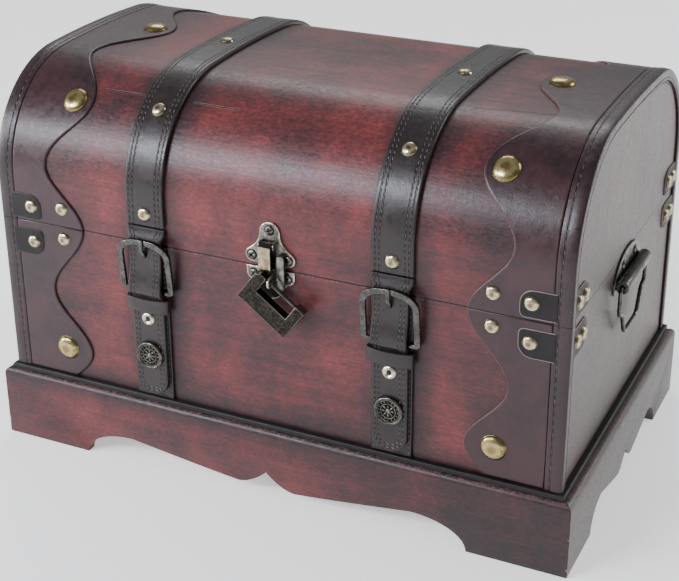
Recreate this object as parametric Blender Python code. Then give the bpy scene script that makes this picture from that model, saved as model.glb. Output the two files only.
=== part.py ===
"""A domed treasure chest with leather straps, buckles, a hasp and padlock, and two end handles.

Lengths below are in millimetres and angles in degrees. The finished objects are in metres, Z up,
with the chest's length along X and its front towards -Y.
"""
import bpy
import bmesh
import math
from mathutils import Matrix, Vector

# Whole chest
LENGTH = 450.0
DEPTH = 278.8
PLINTH_HEIGHT = 56.3
SEAM_Z = 181.3
SEAM_GAP = 0.3
GAP = 0.3

# Wooden body
LEDGE_FRONT = 8.0
LEDGE_END = 10.5
WALL = 8.0
WALL_BOTTOM_Z = 26.0
FLOOR_Z = 28.0
FLOOR_THICK = 5.0

# Lid outline, measured on the wood
SHOULDER_Z = 213.0
SHOULDER_R = 78.1
CROWN_R = 1000.0
SHOULDER_STEPS = 12
CROWN_STEPS = 4

# Plinth boards
PLINTH_ROUND = 5.0
FOOT_FRONT = 72.0
FOOT_END = 54.4
ARCH_FRONT = 41.0
ARCH_END = 24.0
ARCH_HEIGHT = 20.5
BULGE_FRONT = 23.0
BULGE_END = 17.0
BULGE_Z = 9.6
CUSP_Z = 21.7

# Piping on the ledge and leather bands round the edges
PIPING_WIDTH = 4.2
PIPING_HEIGHT = 3.6
BAND_THICK = 1.6
BAND_FRONT_WIDTH = 12.5
BAND_END_WIDTH = 8.0
BAND_ROUND = 1.4

# Scalloped leather patches: the inner edge swings between a deep and a shallow reach from the band
PATCH_THICK = 1.2
PATCH_DEEP = 56.6
PATCH_SHALLOW = 27.6
LID_WAVE = [-32.0, 15.0, 64.0, 121.5]
BOX_WAVE = [SEAM_Z, 129.0, 82.0, 40.0]

# Nails
BIG_NAIL_R = 9.3
BIG_NAIL_RISE = 3.6
NAIL_R = 5.3
NAIL_RISE = 2.4
NAIL_SINK = 0.7
BIG_NAIL_BOX_IN = 35.6
BIG_NAIL_BOX_Z = 83.0
BIG_NAIL_LID_S = 64.0
BIG_NAIL_LID_IN = 42.6
SEAM_NAIL_IN = 40.1
SEAM_NAIL_UP = 14.0
SEAM_NAIL_DOWN = 9.5

# Leather corner patches at the seam
CORNER_THICK = 1.3
CORNER_FRONT_WIDTH = 35.0
CORNER_END_WIDTH = 35.0
CORNER_TALL = 20.5
CORNER_DROP = 6.5
CORNER_ROUND = 9.0
CORNER_NAIL_FRONT = 27.0
CORNER_NAIL_END = (14.5, 27.0)
CORNER_NAIL_UP = 12.5

# Straps: each middle lies a step in from the patches' deepest reach
STRAP_LEFT_IN = 54.7
STRAP_RIGHT_IN = 52.0
STRAP_WIDTH = 30.0
STRAP_THICK = 3.0
STRAP_BACK_END = 7.0
BACKING_THICK = 2.0
STRAP_NAIL_Z = 204.5
STRAP_NAIL_S = 66.0
STRAP_CROWN_NAIL_Y = -11.0

# Buckled flap that hangs from each lid strap
FLAP_WIDTH = 26.0
FLAP_THICK = 2.6
FLAP_PIVOT_Z = 194.5
FLAP_PIVOT_OUT = 1.8
FLAP_OUT = 4.9
FLAP_EASE = 11.5
FLAP_CREST_UP = 1.9
FLAP_CREST_CLEAR = 1.9
FLAP_KEEPER_CLEAR = 0.8
FLAP_TIP_Z = 64.0
FLAP_TIP_ROUND = 12.0
FLAP_RIVET_Z = 125.0
CONCHO_Z = 96.0
CONCHO_R = 10.7
CONCHO_THICK = 2.4
KEEPER_Z = 131.0
KEEPER_TALL = 10.0
KEEPER_WIDTH = 34.0
KEEPER_BACK = 0.7
KEEPER_FRONT = 1.3

# Buckle
BUCKLE_WIDTH = 43.0
BUCKLE_TALL = 42.0
BUCKLE_BOTTOM_Z = 145.6
BUCKLE_RIM = 4.5
BUCKLE_BAR = 3.0
BUCKLE_THICK = 2.8
BUCKLE_ARCH = 14.0
BUCKLE_BOTTOM_OUT = 4.3
BUCKLE_TOP_OUT = 8.4
PRONG_WIDTH = 3.0
PRONG_HOLE_Z = 174.5

# Hasp
LATCH_X = 5.0
LATCH_THICK = 1.5
LATCH_TOP_LOBE = (207.6, 7.6)
LATCH_LOW_LOBE = (13.6, 189.6, 5.2)
LATCH_WAIST = (8.6, 198.5)
LATCH_EDGE = 0.5
LATCH_SCREW_R = 3.4
LATCH_SCREW_RISE = 1.3
HASP_PIVOT_Z = 199.4
HASP_PIVOT_OUT = 5.2
HASP_R = 2.6
HASP_WIDTH = 9.0
HASP_BOTTOM_Z = 183.5
HASP_PIN_R = 1.0
PIN_PLAY = 0.08
CHEEK_THICK = 1.2
ARM_OUT = (4.6, 7.0)
ARM_X = (6.9, 12.9)
ARM_Z = (169.5, 194.0)
ARM_ROUND = 1.8
ARM_LUG_WIDE = 2.9
ARM_LUG_TALL = 4.5
LOWER_HALF_WIDTH = 18.2
LOWER_WING = 10.0
LOWER_LOBE = (168.0, 9.0)
STAPLE_X = 9.8
STAPLE_Z = 175.9
STAPLE_WIRE_R = 0.8
STAPLE_INNER_R = 2.56
STAPLE_OUT = 11.8

# Padlock, measured along its own length and width from its low left corner
LOCK_LONG = 43.0
LOCK_WIDE = 26.0
LOCK_THICK = 7.0
LOCK_TILT = 36.6
LOCK_ARM = 12.9
LOCK_END_PLATE = 4.0
LOCK_LEFT_BLOCK = 8.4
LOCK_RIGHT_BLOCK = 35.5
LOCK_BAR_R = 1.5
LOCK_BAR_W = 23.6
LOCK_BAR_TIP = 39.5
LOCK_ROD_R = 2.0
LOCK_ROD_W = 6.4
LOCK_ROD_TIP = 37.0
LOCK_HANG_U = 11.6
LOCK_CORNER_CUT = 3.0

# Back hinges
HINGE_FROM_PATCH = 2.5
HINGE_HALF = 16.0
HINGE_LEAF_TALL = 20.0
HINGE_LEAF_THICK = 1.4
HINGE_OUT = 4.2
HINGE_KNUCKLE_R = 2.9
HINGE_PIN_R = 1.4
HINGE_MIDDLE_HALF = 7.0

# End handles
HANDLE_Z = 165.0
HANDLE_HALF = 33.0
HANDLE_PLATE_TALL = 19.0
HANDLE_PLATE_LOW = 6.0
HANDLE_PLATE_THICK = 1.3
HANDLE_BARREL_R = 4.8
HANDLE_BARREL_OUT = 5.8
HANDLE_BARREL_HALF = 30.0
BAIL_R = 1.5
BAIL_PLAY = 0.2
BAIL_HALF = 33.0
BAIL_DROP = 40.0
BAIL_ROUND = 7.0
BAIL_END = 22.0

# Values that follow from the ones above
HALF_LENGTH = LENGTH / 2
HALF_DEPTH = DEPTH / 2
WOOD_X = HALF_LENGTH - LEDGE_END
WOOD_Y = HALF_DEPTH - LEDGE_FRONT
BOX_TOP = SEAM_Z - SEAM_GAP / 2
LID_BOTTOM = SEAM_Z + SEAM_GAP / 2
SKIN = GAP
BAND_OUT = SKIN + BAND_THICK
BAND_X = WOOD_X + BAND_OUT
BAND_Y = WOOD_Y + BAND_OUT
PATCH_END = BAND_X - BAND_FRONT_WIDTH - GAP
PATCH_NEAR = PATCH_END - PATCH_DEEP
PATCH_FAR = PATCH_END - PATCH_SHALLOW
STRAP_X = {"left": STRAP_LEFT_IN - PATCH_NEAR, "right": PATCH_NEAR - STRAP_RIGHT_IN}
HINGE_X = PATCH_NEAR - HINGE_FROM_PATCH - HINGE_HALF
LEDGE_TOP = PLINTH_HEIGHT + GAP + PIPING_HEIGHT + GAP
SHOULDER_Y = WOOD_Y - SHOULDER_R
LEAN = math.asin(SHOULDER_Y / (CROWN_R - SHOULDER_R))
CROWN_Z = SHOULDER_Z - (CROWN_R - SHOULDER_R) * math.cos(LEAN)
SHOULDER_RUN = (SHOULDER_R + BAND_OUT) * (math.pi / 2 - LEAN)
CROWN_RUN = CROWN_R * 2 * LEAN
MIDDLE_S = SHOULDER_RUN + CROWN_RUN / 2
STAPLE_REACH = STAPLE_OUT + STAPLE_INNER_R + 2 * STAPLE_WIRE_R
DEPTH_SHIFT = (WOOD_Y + STAPLE_REACH - HALF_DEPTH) / 2

MM = 0.001

# Colour, roughness and metallic value of each kind of surface
FINISHES = {
    "stained_wood": ((0.16, 0.035, 0.032), 0.38, 0.0),
    "dark_leather": ((0.045, 0.018, 0.018), 0.42, 0.0),
    "patch_leather": ((0.10, 0.024, 0.026), 0.40, 0.0),
    "strap_leather": ((0.020, 0.017, 0.018), 0.45, 0.0),
    "inner_wood": ((0.13, 0.06, 0.04), 0.65, 0.0),
    "pewter": ((0.33, 0.31, 0.27), 0.34, 1.0),
    "dark_pewter": ((0.16, 0.155, 0.14), 0.40, 1.0),
    "old_brass": ((0.42, 0.34, 0.20), 0.35, 1.0),
}


def start_empty():
    for item in list(bpy.data.objects):
        bpy.data.objects.remove(item, do_unlink=True)


def material(name, finish):
    colour, roughness, metallic = FINISHES[finish]
    made = bpy.data.materials.new(name)
    made.use_nodes = True
    shader = made.node_tree.nodes["Principled BSDF"]
    shader.inputs["Base Color"].default_value = (*colour, 1.0)
    shader.inputs["Roughness"].default_value = roughness
    shader.inputs["Metallic"].default_value = metallic
    made.diffuse_color = (*colour, 1.0)
    return made


def add_part(name, bm, finish, pivot=(0.0, 0.0, 0.0), smooth=False):
    """Turns a mesh built in millimetres into a named object with its origin on the pivot."""
    bmesh.ops.remove_doubles(bm, verts=bm.verts, dist=0.0005)
    bmesh.ops.recalc_face_normals(bm, faces=bm.faces)
    pivot = Vector(pivot)
    bmesh.ops.translate(bm, verts=bm.verts, vec=-pivot)
    bmesh.ops.scale(bm, verts=bm.verts, vec=(MM, MM, MM))
    mesh = bpy.data.meshes.new(name)
    bm.to_mesh(mesh)
    bm.free()
    mesh.materials.append(material(name, finish))
    if smooth:
        mesh.shade_smooth()
        mesh.set_sharp_from_angle(angle=math.radians(35))
    part = bpy.data.objects.new(name, mesh)
    part.location = (pivot + Vector((0.0, DEPTH_SHIFT, 0.0))) * MM
    PARTS.objects.link(part)
    return part


def block(low, high):
    """A box between two corners."""
    bm = bmesh.new()
    bmesh.ops.create_cube(bm, size=1.0)
    size = [b - a for a, b in zip(low, high)]
    middle = [(a + b) / 2 for a, b in zip(low, high)]
    bmesh.ops.scale(bm, verts=bm.verts, vec=size)
    bmesh.ops.translate(bm, verts=bm.verts, vec=middle)
    return bm


def prism(outline, axis, low, high):
    """A flat outline pushed along X, Y or Z. The outline's pairs are the other two coordinates."""
    place = {
        "x": lambda a, b: (low, a, b),
        "y": lambda a, b: (a, low, b),
        "z": lambda a, b: (a, b, low),
    }[axis]
    step = {"x": (1, 0, 0), "y": (0, 1, 0), "z": (0, 0, 1)}[axis]
    bm = bmesh.new()
    ring = [bm.verts.new(place(a, b)) for a, b in outline]
    face = bm.faces.new(ring)
    copy = bmesh.ops.duplicate(bm, geom=[face])
    top = [f for f in copy["geom"] if isinstance(f, bmesh.types.BMFace)]
    bmesh.ops.translate(bm, verts=top[0].verts, vec=Vector(step) * (high - low))
    edges = list(face.edges) + list(top[0].edges)
    bmesh.ops.bridge_loops(bm, edges=edges)
    bmesh.ops.recalc_face_normals(bm, faces=bm.faces)
    return bm


def cylinder(centre, axis, radius, low, high, segments=20):
    """A round bar along X, Y or Z. The centre gives the other two coordinates."""
    outline = arc(centre[0], centre[1], radius, 0.0, 360.0, segments)[:-1]
    return prism(outline, axis, low, high)


def arc(x, y, radius, start, end, steps):
    """Points on an arc, both ends included, with its angles in degrees."""
    points = []
    for k in range(steps + 1):
        angle = math.radians(start + (end - start) * k / steps)
        points.append((x + radius * math.cos(angle), y + radius * math.sin(angle)))
    return points


def dome(centre, out, radius, rise, segments=14):
    """A nail head on a surface: its base sits a little under the surface point."""
    bm = bmesh.new()
    bmesh.ops.create_uvsphere(bm, u_segments=segments, v_segments=8, radius=1.0)
    geometry = list(bm.verts) + list(bm.edges) + list(bm.faces)
    bmesh.ops.bisect_plane(bm, geom=geometry, dist=1e-5, plane_co=(0, 0, 0),
                           plane_no=(0, 0, -1), clear_outer=True)
    rim = [e for e in bm.edges if len(e.link_faces) == 1]
    bmesh.ops.edgeloop_fill(bm, edges=rim)
    bmesh.ops.scale(bm, verts=bm.verts, vec=(radius, radius, rise + NAIL_SINK))
    bmesh.ops.translate(bm, verts=bm.verts, vec=(0, 0, -NAIL_SINK))
    turn = Vector((0, 0, 1)).rotation_difference(Vector(out)).to_matrix().to_4x4()
    bmesh.ops.transform(bm, verts=bm.verts, matrix=Matrix.Translation(centre) @ turn)
    return bm


def merge(meshes):
    """Several separate meshes in one, for use as one cutter."""
    whole = bmesh.new()
    for bm in meshes:
        data = bpy.data.meshes.new("merge")
        bm.to_mesh(data)
        bm.free()
        whole.from_mesh(data)
        bpy.data.meshes.remove(data)
    return whole


def combine(base, other, operation):
    """The Boolean of two meshes, as a new mesh."""
    objects = []
    for bm in (base, other):
        bmesh.ops.recalc_face_normals(bm, faces=bm.faces)
        data = bpy.data.meshes.new("step")
        bm.to_mesh(data)
        bm.free()
        item = bpy.data.objects.new("step", data)
        bpy.context.scene.collection.objects.link(item)
        objects.append(item)
    change = objects[0].modifiers.new("step", "BOOLEAN")
    change.operation = operation
    change.solver = "EXACT"
    change.object = objects[1]
    bpy.context.view_layer.update()
    shown = objects[0].evaluated_get(bpy.context.evaluated_depsgraph_get())
    result = bpy.data.meshes.new_from_object(shown)
    bm = bmesh.new()
    bm.from_mesh(result)
    for item in objects:
        data = item.data
        bpy.data.objects.remove(item, do_unlink=True)
        bpy.data.meshes.remove(data)
    bpy.data.meshes.remove(result)
    bmesh.ops.remove_doubles(bm, verts=bm.verts, dist=0.0005)
    return bm


def fuse(base, *others):
    return combine(base, merge(others), "UNION")


def cut(base, *others):
    return combine(base, merge(others), "DIFFERENCE")


def soften(bm, radius, segments, chosen):
    """Rounds the edges for which chosen(middle, direction, edge) is true."""
    edges = []
    for edge in bm.edges:
        a, b = edge.verts[0].co, edge.verts[1].co
        if (b - a).length > 1e-6 and chosen((a + b) / 2, (b - a).normalized(), edge):
            edges.append(edge)
    bmesh.ops.bevel(bm, geom=edges, offset=radius, offset_type="OFFSET", segments=segments,
                    profile=0.5, affect="EDGES", clamp_overlap=True, material=-1)
    return bm


def outline_edge(edge):
    """True for an edge where two faces meet at more than 50 degrees."""
    return len(edge.link_faces) == 2 and edge.calc_face_angle(0.0) > math.radians(50)


def sweep_wire(points, radius, round_steps=3):
    """A round wire along a path, with closed ends."""
    curve = bpy.data.curves.new("wire", "CURVE")
    curve.dimensions = "3D"
    curve.bevel_depth = radius
    curve.bevel_resolution = round_steps
    curve.use_fill_caps = True
    line = curve.splines.new("POLY")
    line.points.add(len(points) - 1)
    for place, point in zip(line.points, points):
        place.co = (*point, 1.0)
    item = bpy.data.objects.new("wire", curve)
    bpy.context.scene.collection.objects.link(item)
    bpy.context.view_layer.update()
    shown = item.evaluated_get(bpy.context.evaluated_depsgraph_get())
    data = bpy.data.meshes.new_from_object(shown)
    bm = bmesh.new()
    bm.from_mesh(data)
    bpy.data.objects.remove(item, do_unlink=True)
    bpy.data.curves.remove(curve)
    bpy.data.meshes.remove(data)
    bmesh.ops.remove_doubles(bm, verts=bm.verts, dist=0.0005)
    bmesh.ops.recalc_face_normals(bm, faces=bm.faces)
    return bm


def lid_path(out, front_z=LID_BOTTOM, back_z=LID_BOTTOM):
    """The lid's outline from front to back as (y, z), at a distance out from the wood."""
    r = SHOULDER_R + out
    lean = math.degrees(LEAN)
    points = [(-WOOD_Y - out, front_z)]
    points += arc(-SHOULDER_Y, SHOULDER_Z, r, 180.0, 90.0 + lean, SHOULDER_STEPS)
    points += arc(0.0, CROWN_Z, CROWN_R + out, 90.0 + lean, 90.0 - lean, CROWN_STEPS)[1:-1]
    points += arc(SHOULDER_Y, SHOULDER_Z, r, 90.0 - lean, 0.0, SHOULDER_STEPS)
    points.append((WOOD_Y + out, back_z))
    return points


def lid_point(s, out):
    """The place (y, z) and outward direction at a run s from the front shoulder's foot."""
    if s > MIDDLE_S:
        y, z, ny, nz = lid_point(2 * MIDDLE_S - s, out)
        return -y, z, -ny, nz
    if s <= 0.0:
        return -WOOD_Y - out, SHOULDER_Z + s, -1.0, 0.0
    if s <= SHOULDER_RUN:
        angle = math.pi - s / (SHOULDER_R + BAND_OUT)
        ny, nz = math.cos(angle), math.sin(angle)
        r = SHOULDER_R + out
        return -SHOULDER_Y + r * ny, SHOULDER_Z + r * nz, ny, nz
    angle = math.pi / 2 + LEAN - (s - SHOULDER_RUN) / CROWN_R
    ny, nz = math.cos(angle), math.sin(angle)
    return (CROWN_R + out) * ny, CROWN_Z + (CROWN_R + out) * nz, ny, nz


def lid_strip(low_out, high_out, front_z=LID_BOTTOM, back_z=LID_BOTTOM):
    """The closed outline of a plate that follows the lid."""
    outer = lid_path(high_out, front_z, back_z)
    inner = lid_path(low_out, front_z, back_z)
    return outer + inner[::-1]


def wave(where, stops):
    """The scalloped edge's distance from the middle, easing between near and far at the stops."""
    for k in range(len(stops) - 1):
        a, b = stops[k], stops[k + 1]
        if min(a, b) <= where <= max(a, b):
            ends = (PATCH_NEAR, PATCH_FAR) if k % 2 == 0 else (PATCH_FAR, PATCH_NEAR)
            part = (where - a) / (b - a)
            return ends[0] + (ends[1] - ends[0]) * ease(part)
    return PATCH_NEAR


def mirrored(points):
    return [(-a, b) for a, b in reversed(points)]


# Box
def make_walls():
    top = BOX_TOP
    inner_y = WOOD_Y - WALL
    inner_x = WOOD_X - WALL
    for name, side in (("front_panel", -1), ("back_panel", 1)):
        ys = sorted((side * WOOD_Y, side * inner_y))
        bm = block((-WOOD_X, ys[0], WALL_BOTTOM_Z), (WOOD_X, ys[1], top))
        add_part(name, bm, "stained_wood")
    for name, side in (("left_end_panel", -1), ("right_end_panel", 1)):
        xs = sorted((side * WOOD_X, side * inner_x))
        bm = block((xs[0], -inner_y + GAP, WALL_BOTTOM_Z), (xs[1], inner_y - GAP, top))
        add_part(name, bm, "stained_wood")
    bm = block((-inner_x + GAP, -inner_y + GAP, FLOOR_Z),
               (inner_x - GAP, inner_y - GAP, FLOOR_Z + FLOOR_THICK))
    add_part("bottom_panel", bm, "inner_wood")


def apron_edge(foot, arch, bulge):
    """The lower edge from the middle cusp out to the foot, as (distance, height)."""
    crest = foot - arch
    points = []
    for k in range(6):
        t = k / 6
        points.append((bulge * t, BULGE_Z + (CUSP_Z - BULGE_Z) * (1 - t) ** 1.8))
    for k in range(5):
        t = k / 5
        points.append((bulge + (crest - bulge) * t, BULGE_Z + (ARCH_HEIGHT - BULGE_Z) * t ** 1.1))
    for k in range(9):
        angle = math.radians(90.0 * k / 8)
        points.append((crest + arch * math.sin(angle), ARCH_HEIGHT * math.cos(angle)))
    return points


def plinth_board(half, foot_inner, arch, bulge, thick, other_thick):
    """A board along X with its outer face at y = 0 and mitred ends."""
    side = apron_edge(foot_inner, arch, bulge)
    half -= GAP / 2
    right = side + [(half, 0.0), (half, PLINTH_HEIGHT)]
    outline = mirrored(right) + right[1:]
    bm = prism(outline, "y", 0.0, thick)
    for vert in bm.verts:
        if vert.co.y > thick / 2 and abs(vert.co.x) > half - 0.01:
            vert.co.x = math.copysign(half - other_thick, vert.co.x)
    soften(bm, PLINTH_ROUND, 4, lambda mid, way, edge: (
        mid.z > PLINTH_HEIGHT - 0.01 and mid.y < 0.01 and abs(way.x) > 0.9))
    return bm


def make_plinth():
    front_thick = LEDGE_FRONT - GAP
    end_thick = LEDGE_END - GAP
    for name, angle in (("plinth_front", 0), ("plinth_back", 180)):
        bm = plinth_board(HALF_LENGTH, HALF_LENGTH - FOOT_FRONT, ARCH_FRONT, BULGE_FRONT,
                          front_thick, end_thick)
        bmesh.ops.translate(bm, verts=bm.verts, vec=(0, -HALF_DEPTH, 0))
        bmesh.ops.rotate(bm, verts=bm.verts, matrix=Matrix.Rotation(math.radians(angle), 3, "Z"))
        add_part(name, bm, "stained_wood")
    for name, angle in (("plinth_right", 90), ("plinth_left", -90)):
        bm = plinth_board(HALF_DEPTH, HALF_DEPTH - FOOT_END, ARCH_END, BULGE_END,
                          end_thick, front_thick)
        bmesh.ops.translate(bm, verts=bm.verts, vec=(0, -HALF_LENGTH, 0))
        bmesh.ops.rotate(bm, verts=bm.verts, matrix=Matrix.Rotation(math.radians(angle), 3, "Z"))
        add_part(name, bm, "stained_wood")


def make_piping():
    low = PLINTH_HEIGHT + GAP
    high = low + PIPING_HEIGHT
    x = WOOD_X + SKIN
    y = WOOD_Y + SKIN
    w = PIPING_WIDTH
    ring = block((-x - w, -y - w, low), (x + w, y + w, high))
    soften(ring, PIPING_HEIGHT * 0.55, 3, lambda mid, way, edge: mid.z > high - 0.01)
    hole = block((-x, -y, low - 1), (x, y, high + 1))
    add_part("ledge_piping", cut(ring, hole), "dark_leather")


def band_section(sx, sy):
    """The corner band's L section for one corner, as (x, y)."""
    r = BAND_ROUND
    inner_x, inner_y = WOOD_X + SKIN, WOOD_Y + SKIN
    points = [(BAND_X - BAND_FRONT_WIDTH, inner_y), (BAND_X - BAND_FRONT_WIDTH, BAND_Y)]
    points += arc(BAND_X - r, BAND_Y - r, r, 90.0, 0.0, 4)
    points += [(BAND_X, BAND_Y - BAND_END_WIDTH), (inner_x, BAND_Y - BAND_END_WIDTH)]
    points += [(inner_x, inner_y)]
    return [(sx * a, sy * b) for a, b in points]


CORNERS = (("front_left", -1, -1), ("front_right", 1, -1), ("back_left", -1, 1),
           ("back_right", 1, 1))


def make_box_bands():
    for name, sx, sy in CORNERS:
        bm = prism(band_section(sx, sy), "z", LEDGE_TOP, BOX_TOP)
        add_part("box_band_" + name, bm, "dark_leather", smooth=True)


def make_lid_bands():
    for name, side in (("left", -1), ("right", 1)):
        deep = BAND_OUT - BAND_END_WIDTH
        xs = sorted((side * (BAND_X - BAND_FRONT_WIDTH), side * BAND_X))
        whole = prism(lid_strip(deep, BAND_OUT), "x", xs[0], xs[1])
        edge_x = side * BAND_X
        top = lid_path(BAND_OUT)
        soften(whole, BAND_ROUND, 3, lambda mid, way, edge: (
            abs(mid.x - edge_x) < 0.01 and on_path(mid, top)))
        xs = sorted((side * (BAND_X - BAND_FRONT_WIDTH - 1), side * (WOOD_X + SKIN)))
        core = prism(lid_strip(deep - 2, SKIN, LID_BOTTOM - 1, LID_BOTTOM - 1), "x", xs[0], xs[1])
        add_part("lid_band_" + name, cut(whole, core), "dark_leather", smooth=True)


def on_path(place, path):
    """True where a point lies on one of the path's chords."""
    for (ay, az), (by, bz) in zip(path, path[1:]):
        run = math.hypot(by - ay, bz - az)
        if run < 1e-6:
            continue
        off = abs((place.y - ay) * (bz - az) - (place.z - az) * (by - ay)) / run
        along = ((place.y - ay) * (by - ay) + (place.z - az) * (bz - az)) / run
        if off < 0.01 and -0.01 < along < run + 0.01:
            return True
    return False


def make_box_patches():
    steps = 24
    for face, sy in (("front", -1), ("back", 1)):
        for name, sx in (("left", -1), ("right", 1)):
            edge = []
            for k in range(steps + 1):
                z = LEDGE_TOP + (BOX_TOP - LEDGE_TOP) * k / steps
                edge.append((sx * wave(z, BOX_WAVE), z))
            outline = edge + [(sx * PATCH_END, BOX_TOP), (sx * PATCH_END, LEDGE_TOP)]
            inner = sy * (WOOD_Y + SKIN)
            outer = sy * (WOOD_Y + SKIN + PATCH_THICK)
            bm = prism(outline, "y", min(inner, outer), max(inner, outer))
            big_x = sx * (PATCH_END - BIG_NAIL_BOX_IN)
            seam_x = sx * (PATCH_END - SEAM_NAIL_IN)
            nails = [dome((big_x, outer, BIG_NAIL_BOX_Z), (0, sy, 0),
                          BIG_NAIL_R, BIG_NAIL_RISE, 20)]
            nails.append(dome((seam_x, outer, SEAM_Z - SEAM_NAIL_DOWN), (0, sy, 0),
                              NAIL_R, NAIL_RISE))
            add_part("box_patch_" + face + "_" + name, fuse(bm, *nails), "patch_leather")


def make_lid_patches():
    steps = 60
    for name, side in (("left", -1), ("right", 1)):
        start = LID_BOTTOM - SHOULDER_Z
        run = 2 * MIDDLE_S - 2 * start
        bm = bmesh.new()
        bmesh.ops.create_grid(bm, x_segments=steps, y_segments=1, size=0.5)
        for vert in bm.verts:
            s = start + run * (vert.co.x + 0.5)
            folded = min(s, 2 * MIDDLE_S - s)
            near = wave(folded, LID_WAVE + [MIDDLE_S])
            across = near + (PATCH_END - near) * (vert.co.y + 0.5)
            y, z, ny, nz = lid_point(s, SKIN)
            vert.co = (side * across, y, z)
        bmesh.ops.recalc_face_normals(bm, faces=bm.faces)
        middle = [f for f in bm.faces if abs(f.calc_center_median().y) < 5]
        if middle[0].normal.z < 0:
            bmesh.ops.reverse_faces(bm, faces=bm.faces)
        lower = list(bm.faces)
        copy = bmesh.ops.duplicate(bm, geom=lower)
        upper = [f for f in copy["geom"] if isinstance(f, bmesh.types.BMFace)]
        for vert in {v for f in upper for v in f.verts}:
            s = path_run(vert.co)
            y, z, ny, nz = lid_point(s, SKIN + PATCH_THICK)
            vert.co.y, vert.co.z = y, z
        bmesh.ops.reverse_faces(bm, faces=lower)
        rims = [e for e in bm.edges if len(e.link_faces) == 1]
        bmesh.ops.bridge_loops(bm, edges=rims)
        nails = []
        surface = SKIN + PATCH_THICK
        for s in (BIG_NAIL_LID_S, MIDDLE_S, 2 * MIDDLE_S - BIG_NAIL_LID_S):
            y, z, ny, nz = lid_point(s, surface - 0.12)
            x = side * (PATCH_END - BIG_NAIL_LID_IN)
            nails.append(dome((x, y, z), (0, ny, nz), BIG_NAIL_R, BIG_NAIL_RISE, 20))
        for sy in (-1, 1):
            seam_x = side * (PATCH_END - SEAM_NAIL_IN)
            place = (seam_x, sy * (WOOD_Y + surface), SEAM_Z + SEAM_NAIL_UP)
            nails.append(dome(place, (0, sy, 0), NAIL_R, NAIL_RISE))
        add_part("lid_patch_" + name, fuse(bm, *nails), "patch_leather", smooth=True)


def path_run(place):
    """The run s of a point on the lid, on the skin just over the wood."""
    y, z = place.y, place.z
    if y > 0:
        return 2 * MIDDLE_S - path_run(Vector((0.0, -y, z)))
    if z <= SHOULDER_Z:
        return z - SHOULDER_Z
    angle = math.atan2(z - SHOULDER_Z, y + SHOULDER_Y)
    if angle >= math.pi / 2 + LEAN - 1e-9:
        return (math.pi - angle) * (SHOULDER_R + BAND_OUT)
    crown = math.atan2(z - CROWN_Z, y)
    return SHOULDER_RUN + (math.pi / 2 + LEAN - crown) * CROWN_R


def corner_patch(sx, sy, low, high, round_top, nail_z):
    """A leather patch bent round one corner, with a nail in front and two on the end."""
    inner_x, inner_y = BAND_X + GAP, BAND_Y + GAP
    outer_x, outer_y = inner_x + CORNER_THICK, inner_y + CORNER_THICK
    front_end = BAND_X - CORNER_FRONT_WIDTH
    side_end = BAND_Y - CORNER_END_WIDTH
    points = [(front_end, inner_y), (front_end, outer_y)]
    points += arc(outer_x - 2.4, outer_y - 2.4, 2.4, 90.0, 0.0, 4)
    points += [(outer_x, side_end), (inner_x, side_end)]
    points += arc(inner_x - 1.1, inner_y - 1.1, 1.1, 0.0, 90.0, 3)
    bm = prism([(sx * a, sy * b) for a, b in points], "z", low, high)
    z_round = high if round_top else low
    soften(bm, CORNER_ROUND, 5, lambda mid, way, edge: (
        abs(mid.z - z_round) < 0.01 and (
            (abs(abs(mid.x) - front_end) < 0.01 and abs(way.y) > 0.9)
            or (abs(abs(mid.y) - side_end) < 0.01 and abs(way.x) > 0.9))))
    nails = [dome((sx * (BAND_X - CORNER_NAIL_FRONT), sy * outer_y, nail_z), (0, sy, 0),
                  NAIL_R, NAIL_RISE)]
    for back in CORNER_NAIL_END:
        nails.append(dome((sx * outer_x, sy * (BAND_Y - back), nail_z), (sx, 0, 0),
                          NAIL_R, NAIL_RISE))
    return fuse(bm, *nails)


def make_corner_patches():
    for name, sx, sy in CORNERS:
        low = LID_BOTTOM + GAP
        bm = corner_patch(sx, sy, low, low + CORNER_TALL, True, SEAM_Z + CORNER_NAIL_UP)
        add_part("lid_corner_" + name, bm, "dark_leather")
        high = SEAM_Z - CORNER_DROP
        bm = corner_patch(sx, sy, high - CORNER_TALL, high, False, SEAM_Z - CORNER_NAIL_UP - 1)
        add_part("box_corner_" + name, bm, "dark_leather")


# Lid
def make_lid():
    bm = prism(lid_strip(-WALL, 0.0), "x", -WOOD_X, WOOD_X)
    add_part("lid_shell", bm, "stained_wood", smooth=True)
    inside = lid_path(-WALL - GAP)
    for name, side in (("left", -1), ("right", 1)):
        xs = sorted((side * WOOD_X, side * (WOOD_X - WALL)))
        add_part("lid_end_" + name, prism(inside, "x", xs[0], xs[1]), "stained_wood")


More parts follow.
